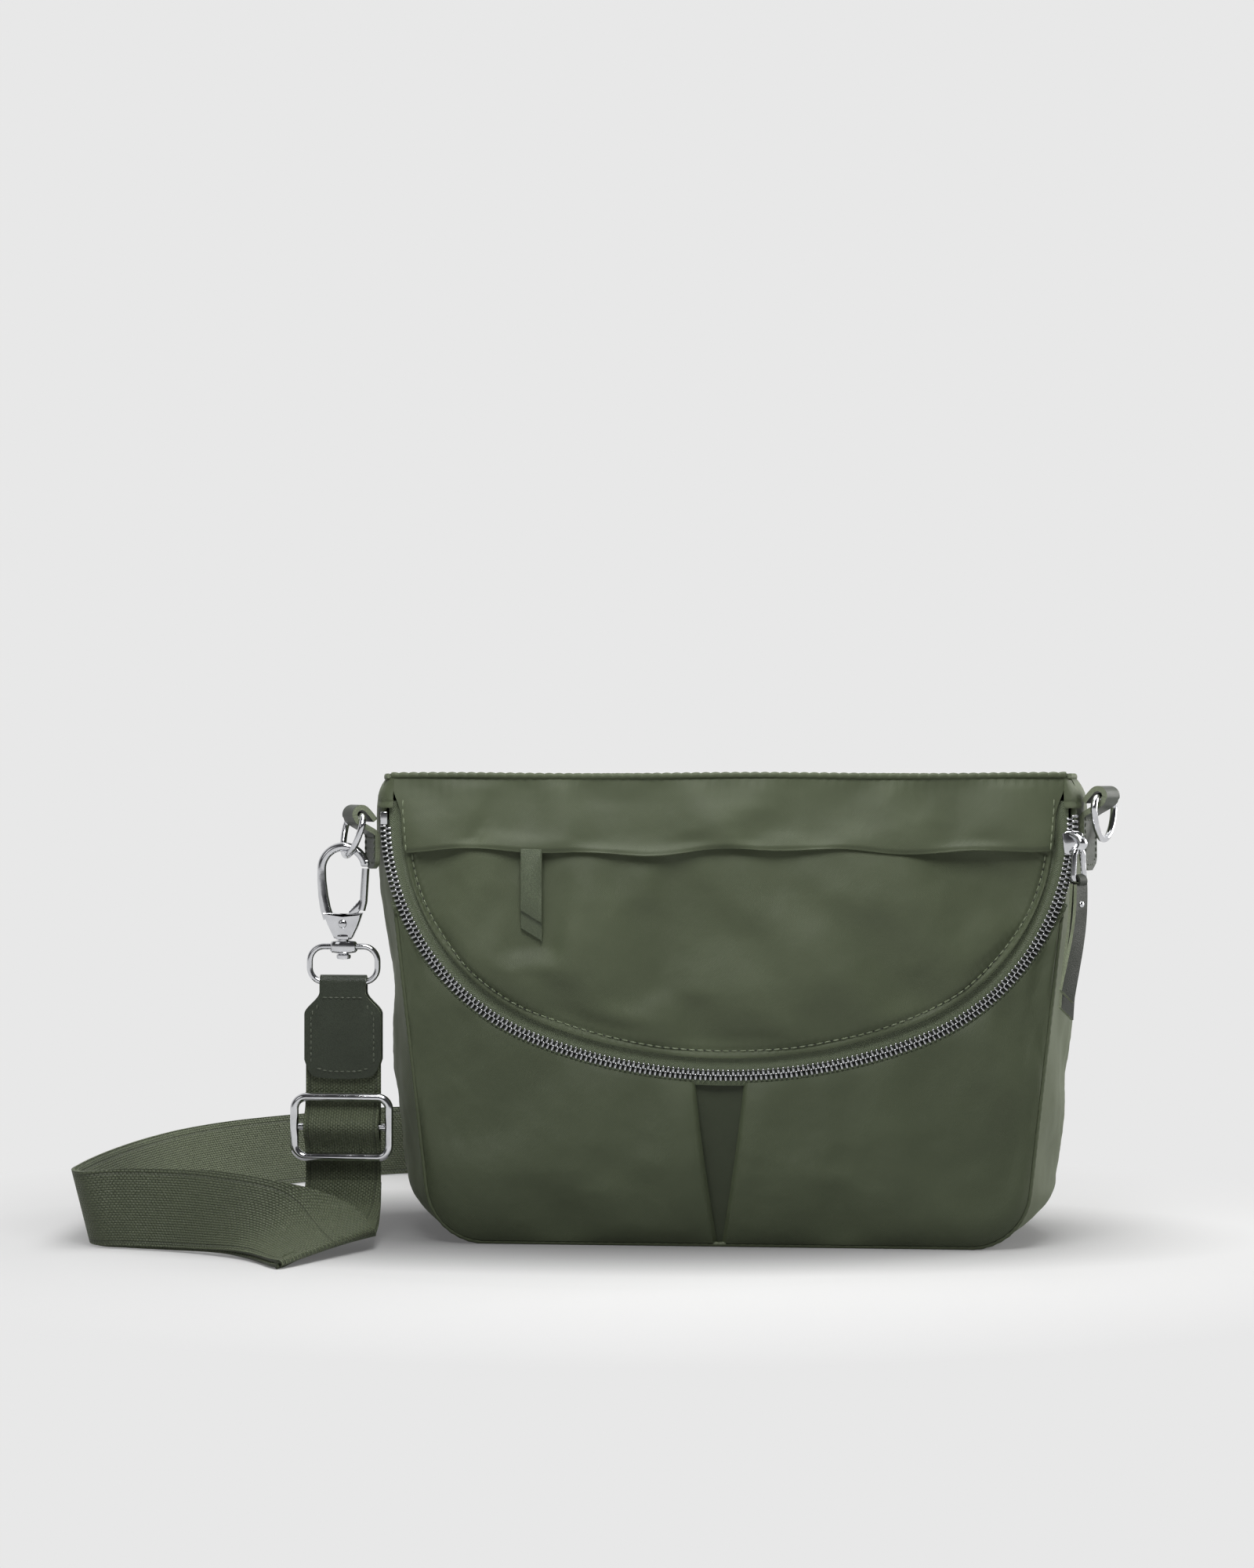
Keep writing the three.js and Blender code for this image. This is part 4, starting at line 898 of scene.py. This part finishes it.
def make_zip():
    tape("body_tape", 2.2, 4.2, "root", TAPE, "zip_tape_body", 34, TRACK_LENGTH - 34)
    tape("flap_tape", -9.0, -1.6, "flap", TAPE, "zip_tape_flap", -8, TRACK_LENGTH + 8)
    # The cord strips behind the teeth are dark: partly the real cord edges, partly painted shade in the gap
    # between the rows
    tape("body_cord", 0.1, 2.4, "root", CORD_PAINTED_SHADE)
    tape("flap_cord", -1.8, -0.1, "flap", CORD_PAINTED_SHADE)
    teeth("body_teeth", 1, "root", "zip_teeth_body")
    teeth("flap_teeth", -1, "flap", "zip_teeth_flap")
    stop = rounded_box_mesh((-145.2, -45.0, 176.0), (-142.2, -42.8, 181.4), 0.4)
    build("zip_stop_metal", stop, CHROME, "zip_stop")
    b, a = grid((-1, 1, 12), (-1, 1, 160))
    p = field(a * 116, -41.9, LIP_Z + 4.6 + b * 4)
    cloth("pocket_tape", p, 0.6, TAPE, "pocket_zip_chain", "flap")
    coils = [rounded_box_mesh((x, -43.2, LIP_Z + 2.2), (x + 1.0, -42.4, LIP_Z + 5.0), 0.3, 1)
             for x in np.arange(-118, 118, 1.6)]
    build("pocket_coil", merged(*coils), TAPE, "", "flap")


# ---------------- sliders and pulls


def resampled(corners, steps):
    points = []
    for a, b in zip(corners, corners[1:] + corners[:1]):
        for t in np.arange(steps) / steps:
            points.append((a[0] + (b[0] - a[0]) * t, a[1] + (b[1] - a[1]) * t))
    return points


def make_main_pull():
    """The main slider, its wire link and its two leather pulls, all turned to the zip's direction."""
    x, z, front = TRACK_X + TRACK_R, 169.0, -44.5
    face = [(x - 4.3, z + 3.4), (x - 3.4, z - 4.4), (x - 1.8, z - 5.2), (x + 1.8, z - 5.2)]
    face += [(x + 3.4, z - 4.4), (x + 4.3, z + 3.4), (x + 2.4, z + 4.6), (x - 2.4, z + 4.6)]
    plate = slab_mesh(face, front - 1.7, front + 0.1, 0.4)
    turned = Matrix.Translation((x, front - 1.3, 0)) @ Matrix.Rotation(radians(45), 4, "Z")
    t = shares(26)
    crown_line = field(0.0, 0.2 - 5.8 * np.sin(pi * t) ** 0.7, z + 3.4 - 7.6 * t)
    crown = moved(tube_mesh(crown_line, 1.2 + 0.25 * np.sin(pi * t), False, 14, 1.6), turned)
    build("main_slider_metal", merged(plate, crown), CHROME, "main_slider_body", "main_slider")
    link = rounded_loop(3.0, 6.4, 2.2)
    link[:, 0] *= 1 + 0.16 * (-link[:, 2] / 6.4)
    link = moved(tube_mesh(link + (0, -3.2, 159.6), 1.2, True, 14), turned)
    build("main_link_metal", link, CHROME, "main_puller_link", "main_puller")
    v = np.linspace(-1, 1, 9)
    for word, y0, y1, thick, drop, lean, bow in (("front", -5.0, -5.4, 1.6, 48.5, -9.0, 1),
                                                 ("back", -3.0, -1.8, 1.5, 56.0, -5.0, -0.4)):
        t = shares(46)[:, None]
        z_line = 151.9 - t * (drop - 5.5 * (1 - v) / 2)
        x_line = v * (3.4 + 0.4 * t) + lean * t ** 1.2 + 0.5 * np.sin(t * 5.2)
        y_line = y0 + (y1 - y0) * t - 0.9 * np.sin(t * pi) * bow
        p = carried(field(x_line, y_line, z_line), turned)
        # The pulls use the darker leather copy: painted shade
        cloth(f"main_pull_{word}_leather", p, thick, LEATHER_PULL_SHADED, f"main_pull_{word}", "main_pull",
              edge=LEATHER_EDGE)
    dx, a = np.meshgrid(np.linspace(-2.3, 2.3, 8), np.linspace(-0.7, pi + 0.7, 18))
    p = carried(field(dx, -3.2 - 1.9 * np.cos(a), 153.4 - 0.3 + 1.9 * np.sin(a)), turned)
    cloth("main_pull_loop", p, 0.9, LEATHER_PULL_SHADED, "", "main_pull")
    rivet = lathe_mesh([(0.2, 0.75), (0.9, 0.6), (1.35, 0.2), (1.4, -0.1), (1.2, -0.4)])
    m = turned @ Matrix.Translation((-0.8, -5.5, 143.6)) @ Matrix.Rotation(pi / 2, 4, "X")
    build("main_pull_rivet_metal", moved(rivet, m), CHROME, "main_pull_rivet", "main_pull")


def make_pocket_pull():
    x, half, top = POCKET_PULL_X, 4.5, 166.0
    for word, low, high, drop in (("front", -49.3, -48.2, 31), ("back", -48.0, -47.0, 38.5)):
        end = top - 0.2 - drop
        outline = resampled([(x - half, top), (x - half, end + 5.5), (x + half, end), (x + half, top)], 14)
        count = len(outline)
        build(f"pocket_pull_{word}_leather", slab_mesh(outline, low, high, 0.3), LEATHER_LIGHT,
              f"pocket_pull_{word}", "pocket_pull", edge=LEATHER_EDGE,
              edge_faces=range(2 + 2 * count, 2 + 3 * count))
    slider = rounded_box_mesh((x - 2.6, -45.9, top), (x + 2.6, -44.3, top + 7), 0.5)
    build("pocket_slider_metal", slider, CHROME, "pocket_slider", "pocket_slider")


# ---------------- D-rings and tabs


def make_dring(word, side, bar_z, tilt):
    """A leather tab sewn to the side, its loop round the ring's bar, and the ring hanging from it."""
    turn = pi + radians(28) if side < 0 else -radians(28)
    turned = Matrix.Rotation(turn, 4, "Z")
    base = Matrix.Translation((side * 150.4, -31, 0)) @ turned
    out, face, bend = 7.5, 1.6, bar_z - 9
    profile = [(face, 157 + (bend - 157) * t) for t in shares(16)]
    profile += [(face + (out + 3.6 - face) * smooth(t), bend + 7.4 * t ** 1.3)
                for t in np.linspace(0.12, 1, 9)]
    profile += [(out + 4.2 * cos(a), bar_z + 4.2 * sin(a)) for a in np.linspace(-0.2, pi * 0.62, 18)]
    profile += [(out - 1.9 - (out - 2.4) * t, bar_z + 3.8 - 5.5 * t ** 1.2) for t in np.linspace(0.15, 1, 9)]
    profile = np.array(profile)
    half = 7.0
    width = half * np.ones(len(profile))
    width[:4] = half * np.array([0.3, 0.62, 0.88, 0.98])
    p = field(profile[:, :1], width[:, None] * np.linspace(-1, 1, 16), profile[:, 1:])
    cloth(f"dring_tab_{word}_leather", carried(p, base), 2.2, LEATHER, f"dring_tab_{word}", flip=True,
          edge=LEATHER_EDGE)
    places, directions = [], []
    for z in np.arange(163, bend, 2.6):
        for y in (-5.8, 5.8):
            places.append((face + 0.02, y, z))
            directions.append((0, 0, 1))
    for y in np.arange(-4.6, 5, 2.3):
        for z in (161.5 if abs(y) > 3 else 159.5, bar_z - 10):
            places.append((face + 0.02, y, z))
            directions.append((0, 1, 0))
    stitches(f"dring_tab_{word}_stitches", carried(places, base), carried(directions, turned),
             carried((1.0, 0, 0), turned), 1.9, 0.28, THREAD_DARK)
    half_ring, depth = 11.0, 18.0
    ring = [(0, y, 0) for y in np.linspace(-8, 8, 14)]
    ring += [(0, half_ring * cos(a), -(3 + (depth - 3) * sin(a))) for a in np.linspace(0, pi, 48)]
    m = base @ Matrix.Translation((out, 0, bar_z)) @ Matrix.Rotation(-tilt, 4, "Y")
    build(f"dring_{word}_metal", moved(tube_mesh(softened(ring), 1.4, True, 16), m), CHROME, f"dring_{word}",
          f"dring_{word}")


def softened(points, rounds=2):
    """A closed line of points with its corners eased."""
    p = np.asarray(points, float)
    for _ in range(rounds):
        p = (np.roll(p, 1, 0) + 2 * p + np.roll(p, -1, 0)) / 4
    return p


# ---------------- swivel hooks


def make_hook(word, place, ring_half, ring_corner):
    """Local frame: origin on the swivel ring's far bar, +Z to the hook."""

    def put(name, meshes, nodes, body):
        build(name, moved(merged(*meshes), place), CHROME, nodes, body)

    ring = tube_mesh(rounded_loop(ring_half, 7.55, ring_corner, 7.55), 1.3, True, 16)
    barrel = lathe_mesh([(2.6, 12.2), (4.2, 12.6), (4.7, 13.4), (4.7, 16.2), (4.2, 17.2), (2.6, 17.6)])
    barrel[0][:, 1] *= 0.62
    barrel[0][:, 0] *= 1.25
    put(f"swivel_ring_{word}_metal", (ring, barrel), f"swivel_ring_{word}", "root")
    post = lathe_mesh([(1.0, 9.6), (2.8, 9.9), (3.1, 10.6), (3.0, 11.6), (2.1, 12.0), (2.1, 17.8),
                       (3.4, 18.2), (3.7, 19.0), (3.5, 20.0), (2.0, 20.4)])
    base = slab_mesh(resampled([(-3.8, 18.6), (3.8, 18.6), (6.4, 24.0), (8.2, 29.4), (0, 28.6), (-8.6, 29.8),
                                (-6.6, 24.4)], 5), -2.7, 2.7, 0.9)
    arm = [(-6.4, 0, 27), (-7.7, 0, 31), (-8.7, 0, 36.5), (-9.3, 0, 43)]
    for i in range(31):
        a = pi - (pi - 0.21) * i / 30
        arm.append((9.4 * cos(a), 0, 48 + 9.4 * sin(a)))
    hook = tube_mesh(along(np.array(arm), shares(60)), 2.4 - 0.5 * smooth(shares(60) * 2.2), False, 16, 1.05)
    tip = rounded_box_mesh((7.4, -1.75, 49.0), (11.0, 1.75, 52.0), 0.8)
    put(f"hook_{word}_metal", (post, base, hook, tip), f"hook_{word}_body", f"hook_{word}")
    head = [(0.3, 3.55), (1.2, 3.45), (1.75, 3.1), (1.85, 2.8)]
    head += [(r, -z) for r, z in head[::-1]]
    rivet = moved(lathe_mesh(head), Matrix.Translation((0, 0, 24.8)) @ Matrix.Rotation(pi / 2, 4, "X"))
    put(f"hook_{word}_rivet_metal", (rivet,), f"hook_{word}_rivet", f"hook_{word}")
    rod = tube_mesh(along(np.array([(7.6, 0, 30.6), (8.5, 0, 34), (9.4, 0, 48.2)]), shares(24)), 1.7)
    lever = resampled([(2.2, 26.4), (5.0, 27.6), (9.2, 33.4), (7.2, 35.2), (2.4, 30.0)], 4)
    lever = slab_mesh(lever, -1.1, 1.1, 0.35)
    put(f"hook_{word}_gate_metal", (rod, lever), f"hook_{word}_gate", f"gate_{word}")


# ---------------- strap

# The loose strap's route, pairs of selvedge points: the low edge, then the standing edge
STRAP_ROUTE = [
    ((-178.4, -36, 24.6), (-146.4, -36, 24.6)),
    ((-179, -40.5, 13.5), (-146, -41, 15)),
    ((-179.5, -54, 6.4), (-145.6, -47.5, 10.2)),
    ((-179.5, -73, 3.7), (-145.4, -55, 7.8)),
    ((-178, -94.5, 2.6), (-145.4, -60.5, 6.9)),
    ((-175.8, -107.5, 2.3), (-146.6, -63.2, 8.8)),
    ((-179, -105.5, 2.2), (-151.5, -61, 14)),
    ((-184.5, -98.5, 2), (-160.5, -61.5, 20)),
    ((-192, -90, 1.9), (-171.5, -67.5, 25.5)),
    ((-202, -82, 1.6), (-186, -75, 30)),
    ((-214, -75.5, 1), (-204, -73, 32.6)),
    ((-230, -70, 0.5), (-228, -64, 32)),
    ((-248, -66, 0.4), (-252, -62.5, 31.8)),
    ((-259, -63.5, 0.4), (-266, -65.5, 31.2)),
    ((-264.5, -57, 0.4), (-271.5, -60, 31.2)),
    ((-266, -44, 0.4), (-272, -46, 31.6)),
    ((-266.5, -22, 0.4), (-270.5, -23, 32)),
    ((-265.5, 2, 0.4), (-267.5, 2, 32.2)),
    ((-261, 31, 0.4), (-262, 32, 32.3)),
    ((-252, 62, 0.4), (-253, 63.5, 32.2)),
    ((-237, 89, 0.4), (-238, 91, 32.2)),
    ((-216, 112, 0.4), (-217, 114, 32.2)),
    ((-192, 132.5, 0.4), (-192.5, 134.5, 32.2)),
    ((-168, 148, 0.4), (-168, 150, 32.2)),
    ((-143, 150, 0.5), (-141.5, 153, 32.2)),
    ((-122, 139, 1), (-118, 146.5, 31.6)),
    ((-104, 123.5, 1.8), (-95, 141.5, 27)),
    ((-84, 108, 2), (-75, 136.5, 13.5)),
    ((-62, 97.5, 2), (-58, 129, 4.6)),
    ((-40, 93.6, 2), (-39, 125.5, 2.2)),
    ((-24, 93, 2), (-24, 125, 2)),
]


def spline(points, count):
    """A centripetal Catmull-Rom curve through the points."""
    p = np.array(points, float)
    p = np.vstack([2 * p[0] - p[1], p, 2 * p[-1] - p[-2]])
    made = []
    for t in np.linspace(0, len(points) - 1, count):
        i = min(int(t), len(points) - 2)
        f = t - i
        a, b, c, d = p[i:i + 4]
        t1, t2, t3 = (sqrt(np.linalg.norm(q)) for q in (b - a, c - b, d - c))
        m1 = ((b - a) / t1 - (c - a) / (t1 + t2) + (c - b) / t2) * t2
        m2 = ((c - b) / t2 - (d - b) / (t2 + t3) + (d - c) / t3) * t2
        made.append(b + f * m1 + f * f * (-3 * b + 3 * c - 2 * m1 - m2) + f ** 3 * (2 * b - 2 * c + m1 + m2))
    return np.array(made)


def make_strap():
    count = 420
    low = spline([a for a, _ in STRAP_ROUTE], count)
    high = spline([b for _, b in STRAP_ROUTE], count)
    p = field(*ruled(low.T, high.T, shares(13)))
    normal = normals_of(p)
    parted = smooth(shares(count) * 5)[:, None, None] * unit(high - low)[:, None]
    back = p - normal * 0.1 + parted * 0.9
    back[:, :, 2] = np.maximum(back[:, :, 2], 0.15)
    upper = cloth("strap_run_front", p + normal * 1.5, 1.3, WEB, "webbing_run")
    lower = cloth("strap_run_back", back, 1.3, WEB)
    b, a = grid((0, 1, 90), (-1, 1, 13))
    p = field(HANG_X + a * WEB_HALF, HANG_Y - 0.75 - 0.3 * np.cos(a * 1.2), 24.8 + b * 70)
    cloth("strap_hanging", p, 1.3, WEB, "webbing_hanging", flip=True)
    b, a = grid((-1, 1, 70), (-1, 1, 13))
    drop = b * 14.4
    lift = np.where(np.abs(drop) < 10.3, 2.6 + 2.6 * np.cos(pi * drop / 10.3), 0)
    y = HANG_Y - 2.6 - lift - 0.3 * (1 - a ** 2)
    p = field(HANG_X + a * (WEB_HALF - 0.1), y, ADJUST_Z - drop)
    cloth("adjuster_hump", p, 1.4, WEB, "adjuster_webbing", "adjuster")
    rail = rounded_loop(20.2, 12.6, 5, ADJUST_Z) + (HANG_X, HANG_Y - 4.6, 0)
    bar = [(HANG_X + t, HANG_Y - 4.0, ADJUST_Z + 0.0001 * t * t) for t in np.linspace(-20, 20, 8)]
    build("adjuster_metal", merged(tube_mesh(rail, 1.8, True, 18), tube_mesh(bar, 1.4)), CHROME,
          "adjuster_frame", "adjuster")
    make_leather_end()
    arc = [(-11 + 11 * t, 3.4 + 2.7 * smooth(t)) for t in np.linspace(0, 0.95, 8)]
    arc += [(2.9 * sin(a), 3.2 + 2.9 * cos(a)) for a in np.linspace(0, pi, 14)]
    arc += [(-11 * t, 0.3 + 1.4 * smooth(t)) for t in np.linspace(0.05, 1, 8)]
    p = np.stack([[(SPARE_X + x, SPARE_Y + dy, z) for x, z in arc]
                  for dy in np.linspace(-WEB_HALF, WEB_HALF, 13)], 1)
    cloth("strap_far_turn", p, 1.2, WEB, "webbing_turn")


def make_leather_end():
    """The leather hairpin over the swivel ring, wide below and waisted at the ring."""
    v = np.linspace(-1, 1, 25)
    outer = 3.1
    low = 68.2 + 1.6 * v ** 2 + 6.5 * np.clip((np.abs(v) - 0.66) / 0.34, 0, 1) ** 3
    p = []
    for leg, steps in ((-1, shares(46)), (0, np.linspace(0.06, 0.94, 12)), (1, np.linspace(1, 0, 46))):
        for t in steps:
            z = low + (BAR_Z - low) * t if leg else np.full_like(v, BAR_Z + outer * sin(pi * t))
            y = np.full_like(v, outer * leg if leg else -outer * cos(pi * t))
            half = 16.3 - 6.5 * smooth((z - 95.5) / 9.5)
            p.append(field(HANG_X + v * half, HANG_Y + y, z))
    cloth("strap_end_leather", np.array(p), 1.4, LEATHER, "strap_leather_end", flip=True, edge=LEATHER_EDGE)
    front = HANG_Y - outer
    places, directions = [], []
    for z in np.arange(76, 101, 2.5):
        half = 13.4 - 5.2 * float(smooth((z - 94) / 9))
        for side in (-1, 1):
            places.append((HANG_X + side * half, front, z))
            directions.append((0, 0, 1))
    for x in np.arange(-10, 10.1, 2.5):
        places.append((HANG_X + x, front, 71.4 + 2.2 * (x / 12) ** 4))
        directions.append((1, 0, 0.3 * (x / 12) ** 3))
    for x in np.arange(-7.5, 7.6, 2.5):
        places.append((HANG_X + x, front, 102.6))
        directions.append((1, 0, 0))
    stitches("strap_end_stitches", places, directions, FORWARD, 1.7, 0.32, THREAD_DARK)


# ---------------- stage

PALE = (0.807, 0.807, 0.807, 1)


def make_floor():
    """A pale floor with a painted contact shadow (a darker colour near the object), glowing like the backdrop
    further out.
    """
    reach = 30.0
    data = bpy.data.meshes.new("floor")
    corners = [(-reach, -reach, 0), (reach, -reach, 0), (reach, reach, 0), (-reach, reach, 0)]
    data.from_pydata(corners, [], [(0, 1, 2, 3)])
    floor = bpy.data.objects.new("floor", data)
    bpy.context.scene.collection.objects.link(floor)
    s = Surface("floor_white_painted_shadow", (0.47, 0.47, 0.478, 1), 0.9, Specular_IOR_Level=0.0)
    away = s.length(s.coords("Object", (0.95, 1.25, 1)))
    glow = s.node("Emission", Color=PALE, Strength=1.0)
    lit = Signal(s, s.shader.outputs[0])
    both = s.node("MixShader", Fac=s.ramp(away, 0.17, 0.34, 0.12, 1.0), i1=lit, i2=glow)
    s.join(both, s.tree.nodes["Material Output"].inputs[0])
    # Painted contact shadow: the floor's colour drops from 0.47 to 0.13 close to the object
    near = s.length(s.coords("Object", (0.5, 1.25, 1)))
    data.materials.append(s.set(Base_Color=s.ramp(near, 0.06, 0.14, 0.13, 0.47)))
    floor.location = (-0.05, 0, 0)


def make_world():
    """A pale studio all round at eye level, darker overhead towards the front."""
    world = bpy.data.worlds.new("studio")
    world.use_nodes = True
    g = Graph(world.node_tree)
    _, y, z = g.xyz(g.node("TexCoord", None, "Generated"))
    dark = g.ramp(y, 0.3, -0.3) * g.ramp(z, -0.4, 0.16)
    g.join(g.mix(dark, PALE, (0.04, 0.04, 0.042, 1)), world.node_tree.nodes["Background"].inputs[0])
    bpy.context.scene.world = world


def aimed(name, data, place, direction):
    """A lamp or camera at a place, looking in a direction."""
    obj = bpy.data.objects.new(name, data)
    obj.location = place
    obj.rotation_mode = "QUATERNION"
    obj.rotation_quaternion = Vector(direction).to_track_quat("-Z", "Y")
    bpy.context.scene.collection.objects.link(obj)
    return obj


def make_stage():
    make_floor()
    make_world()
    for name, place, target, size, power, color in (
        ("key_top", (0.1, 0.05, 1.2), (0, 0, 0.1), 0.7, 11.0, (1, 1, 1)),
        ("side_right", (1.1, 0.25, 0.45), (0.1, 0, 0.12), 0.6, 14.0, (1, 0.99, 0.97)),
        ("front_left", (-0.9, -1.0, 0.7), (-0.05, 0, 0.1), 0.5, 0.8, (1, 1, 1)),
        ("upper_front", (-0.06, -0.40, 0.60), (0, -0.04, 0.16), 0.3, 3.8, (1, 1, 1)),
    ):
        data = bpy.data.lights.new(name, "AREA")
        data.size = size
        data.energy = power
        data.color = color
        aimed(name, data, place, Vector(target) - Vector(place))
    data = bpy.data.cameras.new("camera")
    data.lens = 60.0
    data.sensor_width = 36.0
    data.sensor_height = 36.0
    data.sensor_fit = "VERTICAL"
    bpy.context.scene.camera = aimed("camera", data, (0.0385, -1.133, 0.193), (-0.073, 0.997, 0))
    bpy.context.scene.view_settings.view_transform = "Standard"


def finish_cad_nodes():
    """The hidden base board keeps its CAD shape and gets a finish."""
    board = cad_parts["base_board"]
    board.data.materials.clear()
    board.data.materials.append(BOARD)


SPARE_X, SPARE_Y = -13.0, 109.0
SPARE_PLACE = Matrix(((0, 0, 1, SPARE_X), (1, 0, 0, SPARE_Y), (0, 1, 0, 3.2), (0, 0, 0, 1)))

make_stage()
make_strap()
make_hook("left", Matrix.Translation((HANG_X, HANG_Y, BAR_Z)), 14.5, 6.2)
make_hook("spare", SPARE_PLACE, 19.2, 2.4)
make_front()
make_back()
make_sides()
make_top()
make_flap()
make_flap_upper()
make_flap_lining()
make_zip()
make_main_pull()
make_pocket_pull()
make_dring("left", -1, 180.0, radians(15))
make_dring("right", 1, 188.0, 0.0)
finish_cad_nodes()
